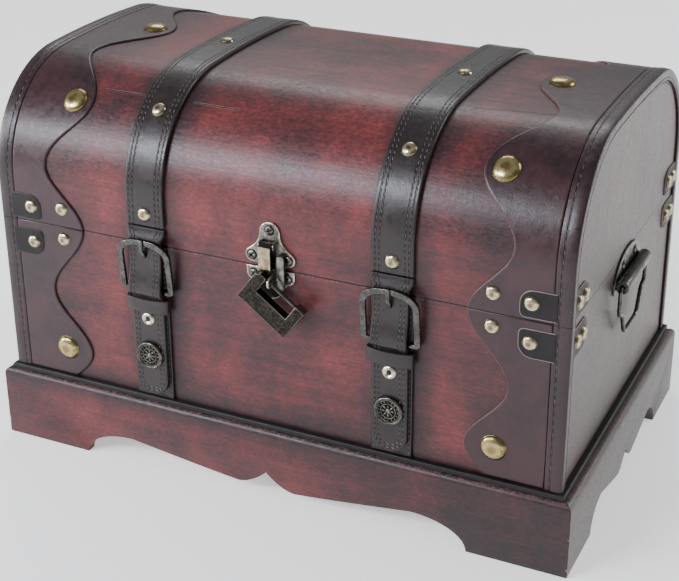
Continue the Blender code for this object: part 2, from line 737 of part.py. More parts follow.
def make_straps():
    for name, x in STRAP_X.items():
        half = STRAP_WIDTH / 2
        low = -WOOD_Y - SKIN - BACKING_THICK
        bm = block((x - half, low, LEDGE_TOP), (x + half, -WOOD_Y - SKIN, BOX_TOP))
        add_part("box_strap_" + name, bm, "strap_leather")
        front_z = FLAP_PIVOT_Z + FLAP_THICK / 2 + GAP
        back_z = LID_BOTTOM + STRAP_BACK_END
        outline = lid_strip(SKIN, SKIN + STRAP_THICK, front_z, back_z)
        bm = prism(outline, "x", x - half, x + half)
        surface = SKIN + STRAP_THICK
        nails = []
        for sy in (-1, 1):
            nails.append(dome((x, sy * (WOOD_Y + surface), STRAP_NAIL_Z), (0, sy, 0),
                              NAIL_R, NAIL_RISE))
        crown_s = MIDDLE_S + STRAP_CROWN_NAIL_Y
        for s in (STRAP_NAIL_S, crown_s, 2 * MIDDLE_S - STRAP_NAIL_S):
            y, z, ny, nz = lid_point(s, surface - 0.15)
            nails.append(dome((x, y, z), (0, ny, nz), NAIL_R, NAIL_RISE))
        add_part("lid_strap_" + name, fuse(bm, *nails), "strap_leather", smooth=True)


def ease(part):
    """Goes smoothly from 0 to 1."""
    return (1 - math.cos(math.pi * part)) / 2


def flap_line():
    """The flap's middle line as (height, distance out): off its fold, then over the buckle's bar."""
    points = []
    for k in range(5):
        out = FLAP_PIVOT_OUT + (FLAP_OUT - FLAP_PIVOT_OUT) * ease(k / 4)
        points.append((FLAP_PIVOT_Z - FLAP_EASE * k / 4, out))
    start = FLAP_PIVOT_Z - FLAP_EASE
    crest_z = BUCKLE_BOTTOM_Z + FLAP_CREST_UP
    crest_out = BUCKLE_BOTTOM_OUT + BUCKLE_THICK / 2 + FLAP_THICK / 2 + FLAP_CREST_CLEAR
    for k in range(1, 7):
        part = k / 6
        out = FLAP_OUT + (crest_out - FLAP_OUT) * ease(part ** 2)
        points.append((start + (crest_z - start) * part, out))
    landing = KEEPER_Z + KEEPER_TALL + FLAP_KEEPER_CLEAR
    for k in range(1, 4):
        out = crest_out + (FLAP_OUT - crest_out) * ease(k / 3)
        points.append((crest_z + (landing - crest_z) * k / 3, out))
    points.append((FLAP_TIP_Z, FLAP_OUT))
    return points


def flap_section():
    """The flap's side outline as (y, z), rounded over the fold at its top."""
    half = FLAP_THICK / 2
    line = flap_line()
    front, back = [], []
    for k, (z, out) in enumerate(line):
        before = line[max(k - 1, 0)]
        after = line[min(k + 1, len(line) - 1)]
        way = Vector((after[1] - before[1], after[0] - before[0])).normalized()
        side = Vector((-way.y, way.x))
        centre = Vector((out, z))
        front.append(centre + side * half)
        back.append(centre - side * half)
    top = arc(FLAP_PIVOT_OUT, FLAP_PIVOT_Z, half, 0.0, 180.0, 6)
    inner = back if back[0].x < front[0].x else front
    outer = front if inner is back else back
    outline = top[1:-1] + [tuple(p) for p in inner] + [tuple(p) for p in reversed(outer)]
    return [(-WOOD_Y - out, z) for out, z in outline]


def make_flaps():
    pivot_y = -WOOD_Y - FLAP_PIVOT_OUT
    front = FLAP_OUT + FLAP_THICK / 2
    for name, x in STRAP_X.items():
        pivot = (x, pivot_y, FLAP_PIVOT_Z)
        half = FLAP_WIDTH / 2
        bm = prism(flap_section(), "x", x - half, x + half)
        soften(bm, FLAP_TIP_ROUND, 6, lambda mid, way, edge: (
            abs(mid.z - FLAP_TIP_Z) < 0.01 and abs(way.y) > 0.9))
        slot = PRONG_WIDTH / 2 + GAP * 2
        hole = block((x - slot, -WOOD_Y - 12, PRONG_HOLE_Z - 2.6),
                     (x + slot, -WOOD_Y - 1, PRONG_HOLE_Z + 3.2))
        bm = cut(bm, hole)
        rivet = dome((x, -WOOD_Y - front, FLAP_RIVET_Z), (0, -1, 0), NAIL_R, NAIL_RISE)
        bm = fuse(bm, rivet)
        add_part("strap_flap_" + name, bm, "strap_leather", pivot)
        add_part("buckle_" + name, make_buckle(x), "dark_pewter", pivot, smooth=True)
        inner = FLAP_OUT - FLAP_THICK / 2 - GAP
        outer = front + GAP
        ring = block((x - KEEPER_WIDTH / 2, -WOOD_Y - outer - KEEPER_FRONT, KEEPER_Z),
                     (x + KEEPER_WIDTH / 2, -WOOD_Y - inner + KEEPER_BACK, KEEPER_Z + KEEPER_TALL))
        soften(ring, 1.2, 3, lambda mid, way, edge: abs(way.z) > 0.9 and mid.y < -WOOD_Y - 6)
        room = block((x - half - GAP, -WOOD_Y - outer, KEEPER_Z - 1),
                     (x + half + GAP, -WOOD_Y - inner, KEEPER_Z + KEEPER_TALL + 1))
        add_part("keeper_" + name, cut(ring, room), "strap_leather", pivot)
        y = -WOOD_Y - front - GAP
        button = cylinder((x, CONCHO_Z), "y", CONCHO_R, y - CONCHO_THICK, y, 28)
        soften(button, 0.8, 2, lambda mid, way, edge: mid.y < y - CONCHO_THICK + 0.01)
        add_part("concho_" + name, button, "dark_pewter", pivot, smooth=True)


def arch_outline(half, low, high, rise, steps):
    """A closed outline with a flat bottom, straight sides and a broad arch on top."""
    points = [(-half, low)]
    for k in range(steps + 1):
        angle = math.pi - math.pi * k / steps
        c, s = math.cos(angle), math.sin(angle)
        x = math.copysign(abs(c) ** 0.84, c) * half
        points.append((x, high - rise + rise * abs(s) ** 0.84))
    points.append((half, low))
    return points


def make_buckle(x):
    """The buckle's frame leans so that its bar passes under the strap, and the prong rests on top."""
    half = BUCKLE_WIDTH / 2
    t = BUCKLE_THICK / 2
    outer = prism(arch_outline(half, 0.0, BUCKLE_TALL, BUCKLE_ARCH, 16), "y", -t, t)
    inner_high = BUCKLE_TALL - BUCKLE_RIM
    inner = prism(arch_outline(half - BUCKLE_RIM, BUCKLE_BAR, inner_high, BUCKLE_ARCH - 3.5, 14),
                  "y", -t - 1, t + 1)
    bm = cut(outer, inner)
    soften(bm, 0.8, 2, lambda mid, way, edge: outline_edge(edge) and abs(way.y) < 0.1)
    rise = BUCKLE_TALL - BUCKLE_RIM / 2 - BUCKLE_BAR / 2
    lean = math.atan2(BUCKLE_TOP_OUT - BUCKLE_BOTTOM_OUT, rise)
    bmesh.ops.translate(bm, verts=bm.verts, vec=(0, 0, -BUCKLE_BAR / 2))
    bmesh.ops.rotate(bm, verts=bm.verts, matrix=Matrix.Rotation(lean, 3, "X"))
    place = (x, -WOOD_Y - BUCKLE_BOTTOM_OUT, BUCKLE_BOTTOM_Z + BUCKLE_BAR / 2)
    bmesh.ops.translate(bm, verts=bm.verts, vec=place)
    low = PRONG_HOLE_Z
    top = BUCKLE_BOTTOM_Z + BUCKLE_TALL
    face = BUCKLE_TOP_OUT + t
    line = [(4.9, low - 1.6), (face - 0.5, low + 6.0), (face - 0.4, top + 0.2)]
    back = [(face + 1.4, top + 0.2), (face + 1.5, low + 5.0), (face - 2.6, low - 1.6)]
    section = [(-WOOD_Y - out, z) for out, z in line + back]
    prong = prism(section, "x", x - PRONG_WIDTH / 2, x + PRONG_WIDTH / 2)
    return fuse(bm, prong)


# Hasp
def trefoil():
    """The upper plate's outline: one lobe above and two below."""
    top_z, top_r = LATCH_TOP_LOBE
    low_x, low_z, low_r = LATCH_LOW_LOBE
    side = arc(0.0, top_z, top_r, 90.0, -12.0, 8)
    side.append(LATCH_WAIST)
    side += arc(low_x, low_z, low_r, 42.0, -90.0, 7)
    return [(LATCH_X + a, b) for a, b in mirrored(side)[:-1] + side]


def lower_shield():
    """The lower plate's outline: wings at the seam and a lobe below."""
    top = BOX_TOP
    low_z, low_r = LOWER_LOBE
    half = LOWER_HALF_WIDTH
    side = [(half, top)]
    side += arc(half - 5.0, top - LOWER_WING + 5.0, 5.0, 0.0, -90.0, 5)
    side += arc(0.0, low_z, low_r, -10.0, -90.0, 7)
    return [(LATCH_X + a, b) for a, b in mirrored(side)[1:] + side]


def make_hasp():
    y_back = -WOOD_Y - SKIN
    y_front = y_back - LATCH_THICK
    plate = prism(trefoil(), "y", y_front, y_back)
    soften(plate, LATCH_EDGE, 1, lambda mid, way, edge: mid.y < y_front + 0.01)
    pivot_y = -WOOD_Y - HASP_PIVOT_OUT
    pieces = []
    half = HASP_WIDTH / 2
    cheek_r = HASP_R + 0.4
    for side in (-1, 1):
        xs = sorted((LATCH_X + side * (half + GAP), LATCH_X + side * (half + GAP + CHEEK_THICK)))
        outline = [(y_front + 0.6, HASP_PIVOT_Z - cheek_r)]
        outline += arc(pivot_y, HASP_PIVOT_Z, cheek_r, 270.0, 90.0, 8)
        outline += [(y_front + 0.6, HASP_PIVOT_Z + cheek_r)]
        pieces.append(prism(outline, "x", xs[0], xs[1]))
    reach = half + GAP + CHEEK_THICK / 2
    pin = cylinder((pivot_y, HASP_PIVOT_Z), "x", HASP_PIN_R, LATCH_X - reach, LATCH_X + reach, 16)
    screws = []
    low_x, low_z, low_r = LATCH_LOW_LOBE
    for dx, z in ((0.0, LATCH_TOP_LOBE[0] + 1.9), (-low_x, low_z), (low_x, low_z)):
        screws.append(dome((LATCH_X + dx, y_front, z), (0, -1, 0),
                           LATCH_SCREW_R, LATCH_SCREW_RISE, 16))
    plate = fuse(plate, *pieces)
    plate = fuse(plate, pin)
    plate = fuse(plate, *screws)
    arm_back, arm_front = ARM_OUT
    arm = block((LATCH_X + ARM_X[0], -WOOD_Y - arm_front, ARM_Z[0]),
                (LATCH_X + ARM_X[1], -WOOD_Y - arm_back, ARM_Z[1]))
    soften(arm, ARM_ROUND, 3, lambda mid, way, edge: abs(way.y) > 0.9)
    lug = block((LATCH_X + ARM_X[0], -WOOD_Y - (arm_back + arm_front) / 2,
                 ARM_Z[1] - ARM_ROUND - ARM_LUG_TALL),
                (LATCH_X + ARM_X[0] + ARM_LUG_WIDE, (y_front + y_back) / 2, ARM_Z[1] - ARM_ROUND))
    plate = fuse(plate, lug)
    plate = fuse(plate, arm)
    add_part("latch_upper_plate", plate, "pewter", smooth=True)

    outline = arc(pivot_y, HASP_PIVOT_Z, HASP_R, 0.0, 180.0, 10)
    outline += [(pivot_y - HASP_R, HASP_BOTTOM_Z), (pivot_y + HASP_R, HASP_BOTTOM_Z)]
    tongue = prism(outline, "x", LATCH_X - half, LATCH_X + half)
    bore = cylinder((pivot_y, HASP_PIVOT_Z), "x", HASP_PIN_R + PIN_PLAY,
                    LATCH_X - half - 1, LATCH_X + half + 1, 16)
    add_part("latch_tongue", cut(tongue, bore), "pewter",
             (LATCH_X, pivot_y, HASP_PIVOT_Z), smooth=True)

    lower = prism(lower_shield(), "y", y_front, y_back)
    soften(lower, LATCH_EDGE, 1, lambda mid, way, edge: mid.y < y_front + 0.01)
    screws = []
    for dx in (-1, 1):
        screws.append(dome((LATCH_X + dx * (LOWER_HALF_WIDTH - 5.6), y_front, BOX_TOP - 5.2),
                           (0, -1, 0), LATCH_SCREW_R, LATCH_SCREW_RISE, 16))
    add_part("latch_lower_plate", fuse(lower, *screws), "pewter", smooth=True)

    middle = STAPLE_INNER_R + STAPLE_WIRE_R
    start = -WOOD_Y - SKIN - LATCH_THICK - GAP
    bend = arc(-WOOD_Y - STAPLE_OUT, STAPLE_Z, middle, 90.0, 270.0, 10)
    path = [(STAPLE_X, start, STAPLE_Z + middle)]
    path += [(STAPLE_X, y, z) for y, z in bend]
    path += [(STAPLE_X, start, STAPLE_Z - middle)]
    add_part("latch_staple", sweep_wire(path, STAPLE_WIRE_R, 2), "pewter", smooth=True)


# Padlock
def lock_place(bm):
    """Moves a piece from the lock's own length and width onto the tilted, hanging lock."""
    along = math.radians(-LOCK_TILT)
    turn = Matrix.Rotation(-along, 4, "Y")
    hang = Matrix.Translation((STAPLE_X, -WOOD_Y - STAPLE_OUT, STAPLE_Z))
    local = Matrix.Translation((-LOCK_HANG_U, 0.0, -LOCK_BAR_W))
    bmesh.ops.transform(bm, verts=bm.verts, matrix=hang @ turn @ local)
    return bm


def make_padlock():
    t = LOCK_THICK / 2
    pivot = (STAPLE_X, -WOOD_Y - STAPLE_OUT, STAPLE_Z)
    low = LOCK_END_PLATE + GAP
    outline = [(low, 0.0), (LOCK_LONG, 0.0), (LOCK_LONG, LOCK_WIDE)]
    outline += [(LOCK_RIGHT_BLOCK, LOCK_WIDE), (LOCK_RIGHT_BLOCK, LOCK_ARM), (low, LOCK_ARM)]
    body = prism(outline, "y", -t, t)
    soften(body, 0.7, 2, lambda mid, way, edge: outline_edge(edge) and abs(way.y) < 0.1
           and mid.x > low + 0.1)
    rod_hole = cylinder((0.0, LOCK_ROD_W), "x", LOCK_ROD_R + 0.15, low - 1, LOCK_ROD_TIP + 1, 20)
    bar_hole = cylinder((0.0, LOCK_BAR_W), "x", LOCK_BAR_R + 0.12, LOCK_RIGHT_BLOCK - 1,
                        LOCK_BAR_TIP + 0.5, 20)
    body = cut(body, rod_hole, bar_hole)
    add_part("padlock_body", lock_place(body), "dark_pewter", pivot, smooth=True)

    outline = [(0.0, 0.0), (LOCK_END_PLATE, 0.0), (LOCK_END_PLATE, LOCK_ARM + GAP)]
    outline += [(LOCK_LEFT_BLOCK, LOCK_ARM + GAP), (LOCK_LEFT_BLOCK, LOCK_WIDE)]
    outline += [(LOCK_CORNER_CUT, LOCK_WIDE), (0.0, LOCK_WIDE - LOCK_CORNER_CUT)]
    slider = prism(outline, "y", -t, t)
    soften(slider, 0.7, 2, lambda mid, way, edge: outline_edge(edge) and abs(way.y) < 0.1
           and mid.x < 0.1)
    bar = cylinder((0.0, LOCK_BAR_W), "x", LOCK_BAR_R, LOCK_LEFT_BLOCK - 2, LOCK_BAR_TIP, 20)
    rod = cylinder((0.0, LOCK_ROD_W), "x", LOCK_ROD_R, LOCK_END_PLATE - 2, LOCK_ROD_TIP, 20)
    slider = fuse(slider, bar, rod)
    add_part("padlock_slider", lock_place(slider), "dark_pewter", pivot, smooth=True)


# Back hinges
def make_hinges():
    pivot_y = WOOD_Y + HINGE_OUT
    leaf_y = (WOOD_Y + SKIN, WOOD_Y + SKIN + HINGE_LEAF_THICK)
    r = HINGE_KNUCKLE_R
    mid = HINGE_MIDDLE_HALF
    for name, x in (("left", -HINGE_X), ("right", HINGE_X)):
        near = SEAM_Z - 0.6
        notch = SEAM_Z - r - GAP
        low = SEAM_Z - HINGE_LEAF_TALL
        gate = mid + GAP / 2
        outline = [(-HINGE_HALF, low), (HINGE_HALF, low), (HINGE_HALF, near), (gate, near)]
        outline += [(gate, notch), (-gate, notch), (-gate, near), (-HINGE_HALF, near)]
        leaf = prism([(x + a, b) for a, b in outline], "y", leaf_y[0], leaf_y[1])
        outer = [cylinder((pivot_y, SEAM_Z), "x", r, x - HINGE_HALF, x - gate, 20),
                 cylinder((pivot_y, SEAM_Z), "x", r, x + gate, x + HINGE_HALF, 20)]
        leaf = fuse(leaf, *outer)
        pin = cylinder((pivot_y, SEAM_Z), "x", HINGE_PIN_R, x - HINGE_HALF - 1,
                       x + HINGE_HALF + 1, 20)
        leaf = fuse(leaf, pin)
        heads = hinge_screws(x, SEAM_Z - 12.0, leaf_y[1])
        add_part("hinge_box_leaf_" + name, fuse(leaf, *heads), "old_brass", smooth=True)

        near = SEAM_Z + 0.6
        notch = SEAM_Z + r + GAP
        high = SEAM_Z + HINGE_LEAF_TALL
        gate = mid - GAP / 2
        outline = [(-gate, near), (gate, near), (gate, notch), (HINGE_HALF, notch)]
        outline += [(HINGE_HALF, high), (-HINGE_HALF, high), (-HINGE_HALF, notch), (-gate, notch)]
        leaf = prism([(x + a, b) for a, b in outline], "y", leaf_y[0], leaf_y[1])
        leaf = fuse(leaf, cylinder((pivot_y, SEAM_Z), "x", r, x - gate, x + gate, 20))
        bore = cylinder((pivot_y, SEAM_Z), "x", HINGE_PIN_R + PIN_PLAY, x - gate - 1,
                        x + gate + 1, 20)
        leaf = cut(leaf, bore)
        heads = hinge_screws(x, SEAM_Z + 12.0, leaf_y[1])
        add_part("hinge_lid_leaf_" + name, fuse(leaf, *heads), "old_brass", smooth=True)


def hinge_screws(x, z, y):
    return [dome((x + dx, y, z), (0, 1, 0), 3.0, 1.2, 12) for dx in (-10.5, 10.5)]


# End handles
def make_handles():
    for name, side in (("left", -1), ("right", 1)):
        inner = side * (WOOD_X + SKIN)
        outer = side * (WOOD_X + SKIN + HANDLE_PLATE_THICK)
        outline = [(HANDLE_HALF, HANDLE_Z - HANDLE_PLATE_LOW)]
        for k in range(17):
            angle = math.pi * k / 16
            outline.append((HANDLE_HALF * math.cos(angle),
                            HANDLE_Z + HANDLE_PLATE_TALL * math.sin(angle)))
        outline.append((-HANDLE_HALF, HANDLE_Z - HANDLE_PLATE_LOW))
        plate = prism(outline, "x", min(inner, outer), max(inner, outer))
        axis_x = side * (WOOD_X + HANDLE_BARREL_OUT)
        barrel = cylinder((axis_x, HANDLE_Z), "y", HANDLE_BARREL_R, -HANDLE_BARREL_HALF,
                          HANDLE_BARREL_HALF, 24)
        plate = fuse(plate, barrel)
        bore = cylinder((axis_x, HANDLE_Z), "y", BAIL_R + BAIL_PLAY, -HANDLE_BARREL_HALF - 1,
                        HANDLE_BARREL_HALF + 1, 20)
        plate = cut(plate, bore)
        heads = [dome((outer, y, HANDLE_Z + 10.0), (side, 0, 0), 3.2, 1.4, 12)
                 for y in (-15.0, 15.0)]
        add_part("handle_plate_" + name, fuse(plate, *heads), "pewter", smooth=True)

        r = BAIL_ROUND
        low = HANDLE_Z - BAIL_DROP
        path = [(-BAIL_END, HANDLE_Z)]
        path += arc(-BAIL_HALF + 2.5, HANDLE_Z - 2.5, 2.5, 90.0, 180.0, 4)
        path += arc(-BAIL_HALF + r, low + r, r, 180.0, 270.0, 6)
        path += mirrored(path)
        bail = sweep_wire([(axis_x, y, z) for y, z in path], BAIL_R, 3)
        add_part("handle_bail_" + name, bail, "pewter", (axis_x, 0.0, HANDLE_Z), smooth=True)


start_empty()
PARTS = bpy.data.collections.new("treasure_chest")
bpy.context.scene.collection.children.link(PARTS)
make_walls()
make_plinth()
make_piping()
make_box_bands()
make_box_patches()
make_corner_patches()
make_lid()
make_lid_bands()
make_lid_patches()
make_straps()
make_flaps()
make_hasp()
make_padlock()
make_hinges()
make_handles()
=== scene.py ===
"""Looks of the treasure chest: stained wood, stitched leather, antique nails, hasp, lock, handles.

Sizes are in millimetres, as in the chest's own drawing, until a piece is finished in metres.
"""
import math

import bmesh
import bpy
from mathutils import Matrix, Vector


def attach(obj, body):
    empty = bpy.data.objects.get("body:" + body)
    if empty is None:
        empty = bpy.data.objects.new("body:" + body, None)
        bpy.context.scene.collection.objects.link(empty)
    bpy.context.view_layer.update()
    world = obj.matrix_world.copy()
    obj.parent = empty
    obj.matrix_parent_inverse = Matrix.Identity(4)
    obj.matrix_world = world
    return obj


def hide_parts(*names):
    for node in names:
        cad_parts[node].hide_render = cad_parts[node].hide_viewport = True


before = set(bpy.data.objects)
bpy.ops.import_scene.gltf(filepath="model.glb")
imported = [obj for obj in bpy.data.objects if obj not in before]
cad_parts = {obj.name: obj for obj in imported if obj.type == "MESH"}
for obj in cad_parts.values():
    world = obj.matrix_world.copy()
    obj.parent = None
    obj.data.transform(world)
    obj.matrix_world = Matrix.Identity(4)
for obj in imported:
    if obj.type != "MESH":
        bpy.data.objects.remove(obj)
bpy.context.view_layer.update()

MM = 0.001
DEPTH_SHIFT = 3.98  # from the drawing's Y to the shared frame's

# Sizes of the chest that the dressed pieces follow
HALF_LENGTH = 225.0
HALF_DEPTH = 139.4
WOOD_X = 214.5
WOOD_Y = 131.4
WALL = 8.0
SIDES = (("left", -1), ("right", 1))
FACES = (("front", -1), ("back", 1))
BOX_TOP = 181.15
LID_BOTTOM = 181.45
SEAM_Z = 181.3
GAP = 0.3
PLINTH_HEIGHT = 56.3
LEDGE_TOP = 60.5
SHOULDER_Z = 213.0
SHOULDER_R = 78.1
SHOULDER_Y = WOOD_Y - SHOULDER_R
CROWN_R = 1000.0
LEAN = math.asin(SHOULDER_Y / (CROWN_R - SHOULDER_R))
CROWN_Z = SHOULDER_Z - (CROWN_R - SHOULDER_R) * math.cos(LEAN)
BAND_OUT = 1.9
SHOULDER_RUN = (SHOULDER_R + BAND_OUT) * (math.pi / 2 - LEAN)
MIDDLE_S = SHOULDER_RUN + CROWN_R * LEAN
BAND_X = WOOD_X + BAND_OUT
BAND_Y = WOOD_Y + BAND_OUT
PATCH_END = BAND_X - 12.8
PATCH_NEAR = PATCH_END - 56.6
PATCH_FAR = PATCH_END - 27.6
STRAP_X = {"left": -92.3, "right": 95.0}
STRAP_HALF = 15.0
STRAP_SURFACE = 3.0
FLAP_THICK = 2.6
FOLD_Z = 194.5
HASP_X = 5.0
STAPLE = Vector((9.8, -WOOD_Y - 11.8, 175.9))
HINGE_X = 128.5
HANDLE_Z = 165.0


# Wood, leather and metal
class Look:
    """A material under construction, with short calls for its nodes."""

    def __init__(self, name, roughness, metallic=0.0, coat=0.0, coat_roughness=0.2,
                 specular=0.5):
        self.material = bpy.data.materials.new(name)
        self.material.use_nodes = True
        self.tree = self.material.node_tree
        self.shader = self.tree.nodes["Principled BSDF"]
        self.shader.inputs["Roughness"].default_value = roughness
        self.shader.inputs["Metallic"].default_value = metallic
        self.shader.inputs["Specular IOR Level"].default_value = specular
        self.shader.inputs["Coat Weight"].default_value = coat
        self.shader.inputs["Coat Roughness"].default_value = coat_roughness
        self.place = self.add("ShaderNodeTexCoord").outputs["Object"]
        split = self.add("ShaderNodeSeparateXYZ")
        self.join(self.place, split.inputs[0])
        self.x, self.y, self.z = split.outputs

    def add(self, kind):
        return self.tree.nodes.new(kind)

    def join(self, output, socket):
        self.tree.links.new(output, socket)

    def put(self, value, socket):
        if isinstance(value, (int, float)):
            socket.default_value = value
        elif isinstance(value, tuple):
            socket.default_value = (*value, 1.0)
        else:
            self.join(value, socket)

    def sum(self, operation, a, b=0.0, c=0.0):
        step = self.add("ShaderNodeMath")
        step.operation = operation
        for value, socket in zip((a, b, c), step.inputs):
            self.put(value, socket)
        return step.outputs[0]

    def times(self, a, b):
        return self.sum("MULTIPLY", a, b)

    def less(self, a, b):
        return self.sum("SUBTRACT", a, b)

    def most(self, a, b):
        return self.sum("MAXIMUM", a, b)

    def size(self, value):
        return self.sum("ABSOLUTE", value)

    def sway(self, noise, share, base):
        """The base, pushed up and down by a noise."""
        return self.sum("MULTIPLY_ADD", self.less(noise, 0.5), share, base)

    def fade(self, value, low, high, start=0.0, end=1.0):
        """Goes from start to end while the value goes from low to high."""
        step = self.add("ShaderNodeMapRange")
        step.interpolation_type = "SMOOTHSTEP"
        for number, socket in zip((value, low, high, start, end), step.inputs):
            self.put(number, socket)
        return step.outputs[0]

    def near(self, value, middle, half, soft):
        """One within half of the middle, fading to nothing over the soft distance."""
        away = self.size(self.less(value, middle))
        return self.fade(away, half, half + soft, 1.0, 0.0)

    def noise(self, scale, detail, rough=0.6, stretch=(1.0, 1.0, 1.0), shift=0.0, warp=0.0):
        turn = self.add("ShaderNodeMapping")
        turn.inputs["Scale"].default_value = stretch
        turn.inputs["Location"].default_value = (shift, shift * 0.7, shift * 1.3)
        self.join(self.place, turn.inputs["Vector"])
        cloud = self.add("ShaderNodeTexNoise")
        cloud.inputs["Scale"].default_value = scale
        cloud.inputs["Detail"].default_value = detail
        cloud.inputs["Roughness"].default_value = rough
        cloud.inputs["Distortion"].default_value = warp
        self.join(turn.outputs[0], cloud.inputs["Vector"])
        return cloud.outputs[0]

    def cells(self, scale, feature="F1", stretch=(1.0, 1.0, 1.0)):
        turn = self.add("ShaderNodeMapping")
        turn.inputs["Scale"].default_value = stretch
        self.join(self.place, turn.inputs["Vector"])
        grain = self.add("ShaderNodeTexVoronoi")
        grain.feature = feature
        grain.inputs["Scale"].default_value = scale
        self.join(turn.outputs[0], grain.inputs["Vector"])
        return grain.outputs["Distance"]

    def shades(self, value, stops):
        ramp = self.add("ShaderNodeValToRGB")
        band = ramp.color_ramp
        while len(band.elements) < len(stops):
            band.elements.new(0.5)
        for element, (place, colour) in zip(band.elements, stops):
            element.position = place
            element.color = (*colour, 1.0)
        self.join(value, ramp.inputs[0])
        return ramp.outputs[0]

    def blend(self, share, a, b):
        step = self.add("ShaderNodeMix")
        step.data_type = "RGBA"
        self.put(share, step.inputs["Factor"])
        self.put(a, step.inputs["A_Color" if "A_Color" in step.inputs else 6])
        self.put(b, step.inputs["B_Color" if "B_Color" in step.inputs else 7])
        return step.outputs[2]

    def colour(self, value):
        self.put(value, self.shader.inputs["Base Color"])

    def gloss(self, value, low, high):
        self.join(self.fade(value, 0.25, 0.75, low, high), self.shader.inputs["Roughness"])

    def relief(self, *layers):
        """Bumps of given strength and height in metres, laid over each other."""
        before = None
        for height, strength, distance in layers:
            step = self.add("ShaderNodeBump")
            step.inputs["Strength"].default_value = strength
            step.inputs["Distance"].default_value = distance
            self.join(height, step.inputs["Height"])
            if before is not None:
                self.join(before, step.inputs["Normal"])
            before = step.outputs[0]
        self.join(before, self.shader.inputs["Normal"])


def stain_and_shade_on(look, reach, clouds):
    """Darker towards the ends and on the plinth towards its right end; painted shadow to the right
    of each strap, partly smoke stain; painted shade along the ledge where the body meets the
    plinth.
    """
    stain_and_shade = look.fade(reach, 0.120, 0.175, 0.0, 0.70)
    above = look.fade(look.z, 0.057, 0.060)
    for middle in STRAP_X.values():
        # painted shadow cast to the right of each strap, partly smoke stain
        strap_shadow_and_stain = look.near(look.x, (middle + 5.0) * MM, 13.0 * MM, 20.0 * MM)
        stain_and_shade = look.most(stain_and_shade, look.times(strap_shadow_and_stain, 0.75))
    stain_and_shade = look.times(stain_and_shade, above)
    # darker on the plinth towards its right end
    low = look.times(look.less(1.0, above), look.fade(look.x, 0.02, 0.16))
    stain_and_shade = look.most(stain_and_shade, look.times(low, 0.9))
    # painted shade along the ledge where the body meets the plinth
    ledge = look.near(look.z, 0.060, 0.002, 0.020)
    stain_and_shade = look.most(stain_and_shade, look.times(ledge, 0.9))
    return look.times(stain_and_shade, look.fade(clouds, 0.3, 0.65, 0.65, 1.15))


def worn_on(look, reach, depth):
    """Stain rubbed pale under the seam, along the plinth's top edge and at its corners."""
    pale = look.noise(620.0, 3.0, 0.6, shift=8.0)
    below = look.near(look.z, SEAM_Z * MM - 0.0009, 0.0002, 0.0005)
    worn = look.times(below, look.fade(pale, 0.54, 0.64, 0.0, 0.7))
    ledge = look.near(look.z, 0.0559, 0.0004, 0.0005)
    ledge = look.times(ledge, look.fade(depth, 0.1368, 0.1376, 0.35, 1.0))
    worn = look.most(worn, look.times(ledge, look.fade(pale, 0.46, 0.60, 0.0, 0.7)))
    upright = look.times(look.fade(reach, 0.2236, 0.2244), look.fade(depth, 0.1379, 0.1387))
    chips = look.sum("ADD", look.noise(330.0, 3.0, 0.6, shift=8.5),
                     look.fade(look.z, 0.004, 0.034, 0.07, -0.02))
    return look.most(worn, look.times(upright, look.fade(chips, 0.60, 0.64, 0.0, 0.95)))


def creases_on(look):
    """Fine creases on the lid: one on each side of the left strap and one far right."""
    line = look.size(look.sum("ADD", look.y, 0.0935))
    run = look.most(look.near(look.x, -0.1255, 0.019, 0.001),
                    look.near(look.x, -0.053, 0.018, 0.001))
    near = look.times(look.fade(line, 0.0003, 0.0008, 1.0, 0.0), run)
    line = look.size(look.less(look.times(look.x, 0.122), look.sum("ADD", look.y, 0.0743)))
    far = look.times(look.fade(line, 0.0003, 0.0008, 1.0, 0.0),
                     look.near(look.x, 0.151, 0.028, 0.002))
    return look.times(look.most(near, far), look.fade(look.z, 0.250, 0.262))


def inside_of(look, reach, depth):
    """One on the inner walls, told by their distance from the shoulder's axis."""
    out = look.most(look.less(depth, SHOULDER_Y * MM), 0.0)
    up = look.most(look.less(look.z, SHOULDER_Z * MM), 0.0)
    away = look.sum("SQRT", look.sum("ADD", look.times(out, out), look.times(up, up)))
    return look.times(look.fade(away, 0.0735, 0.0745, 1.0, 0.0),
                      look.fade(reach, 0.2080, 0.2090, 1.0, 0.0))


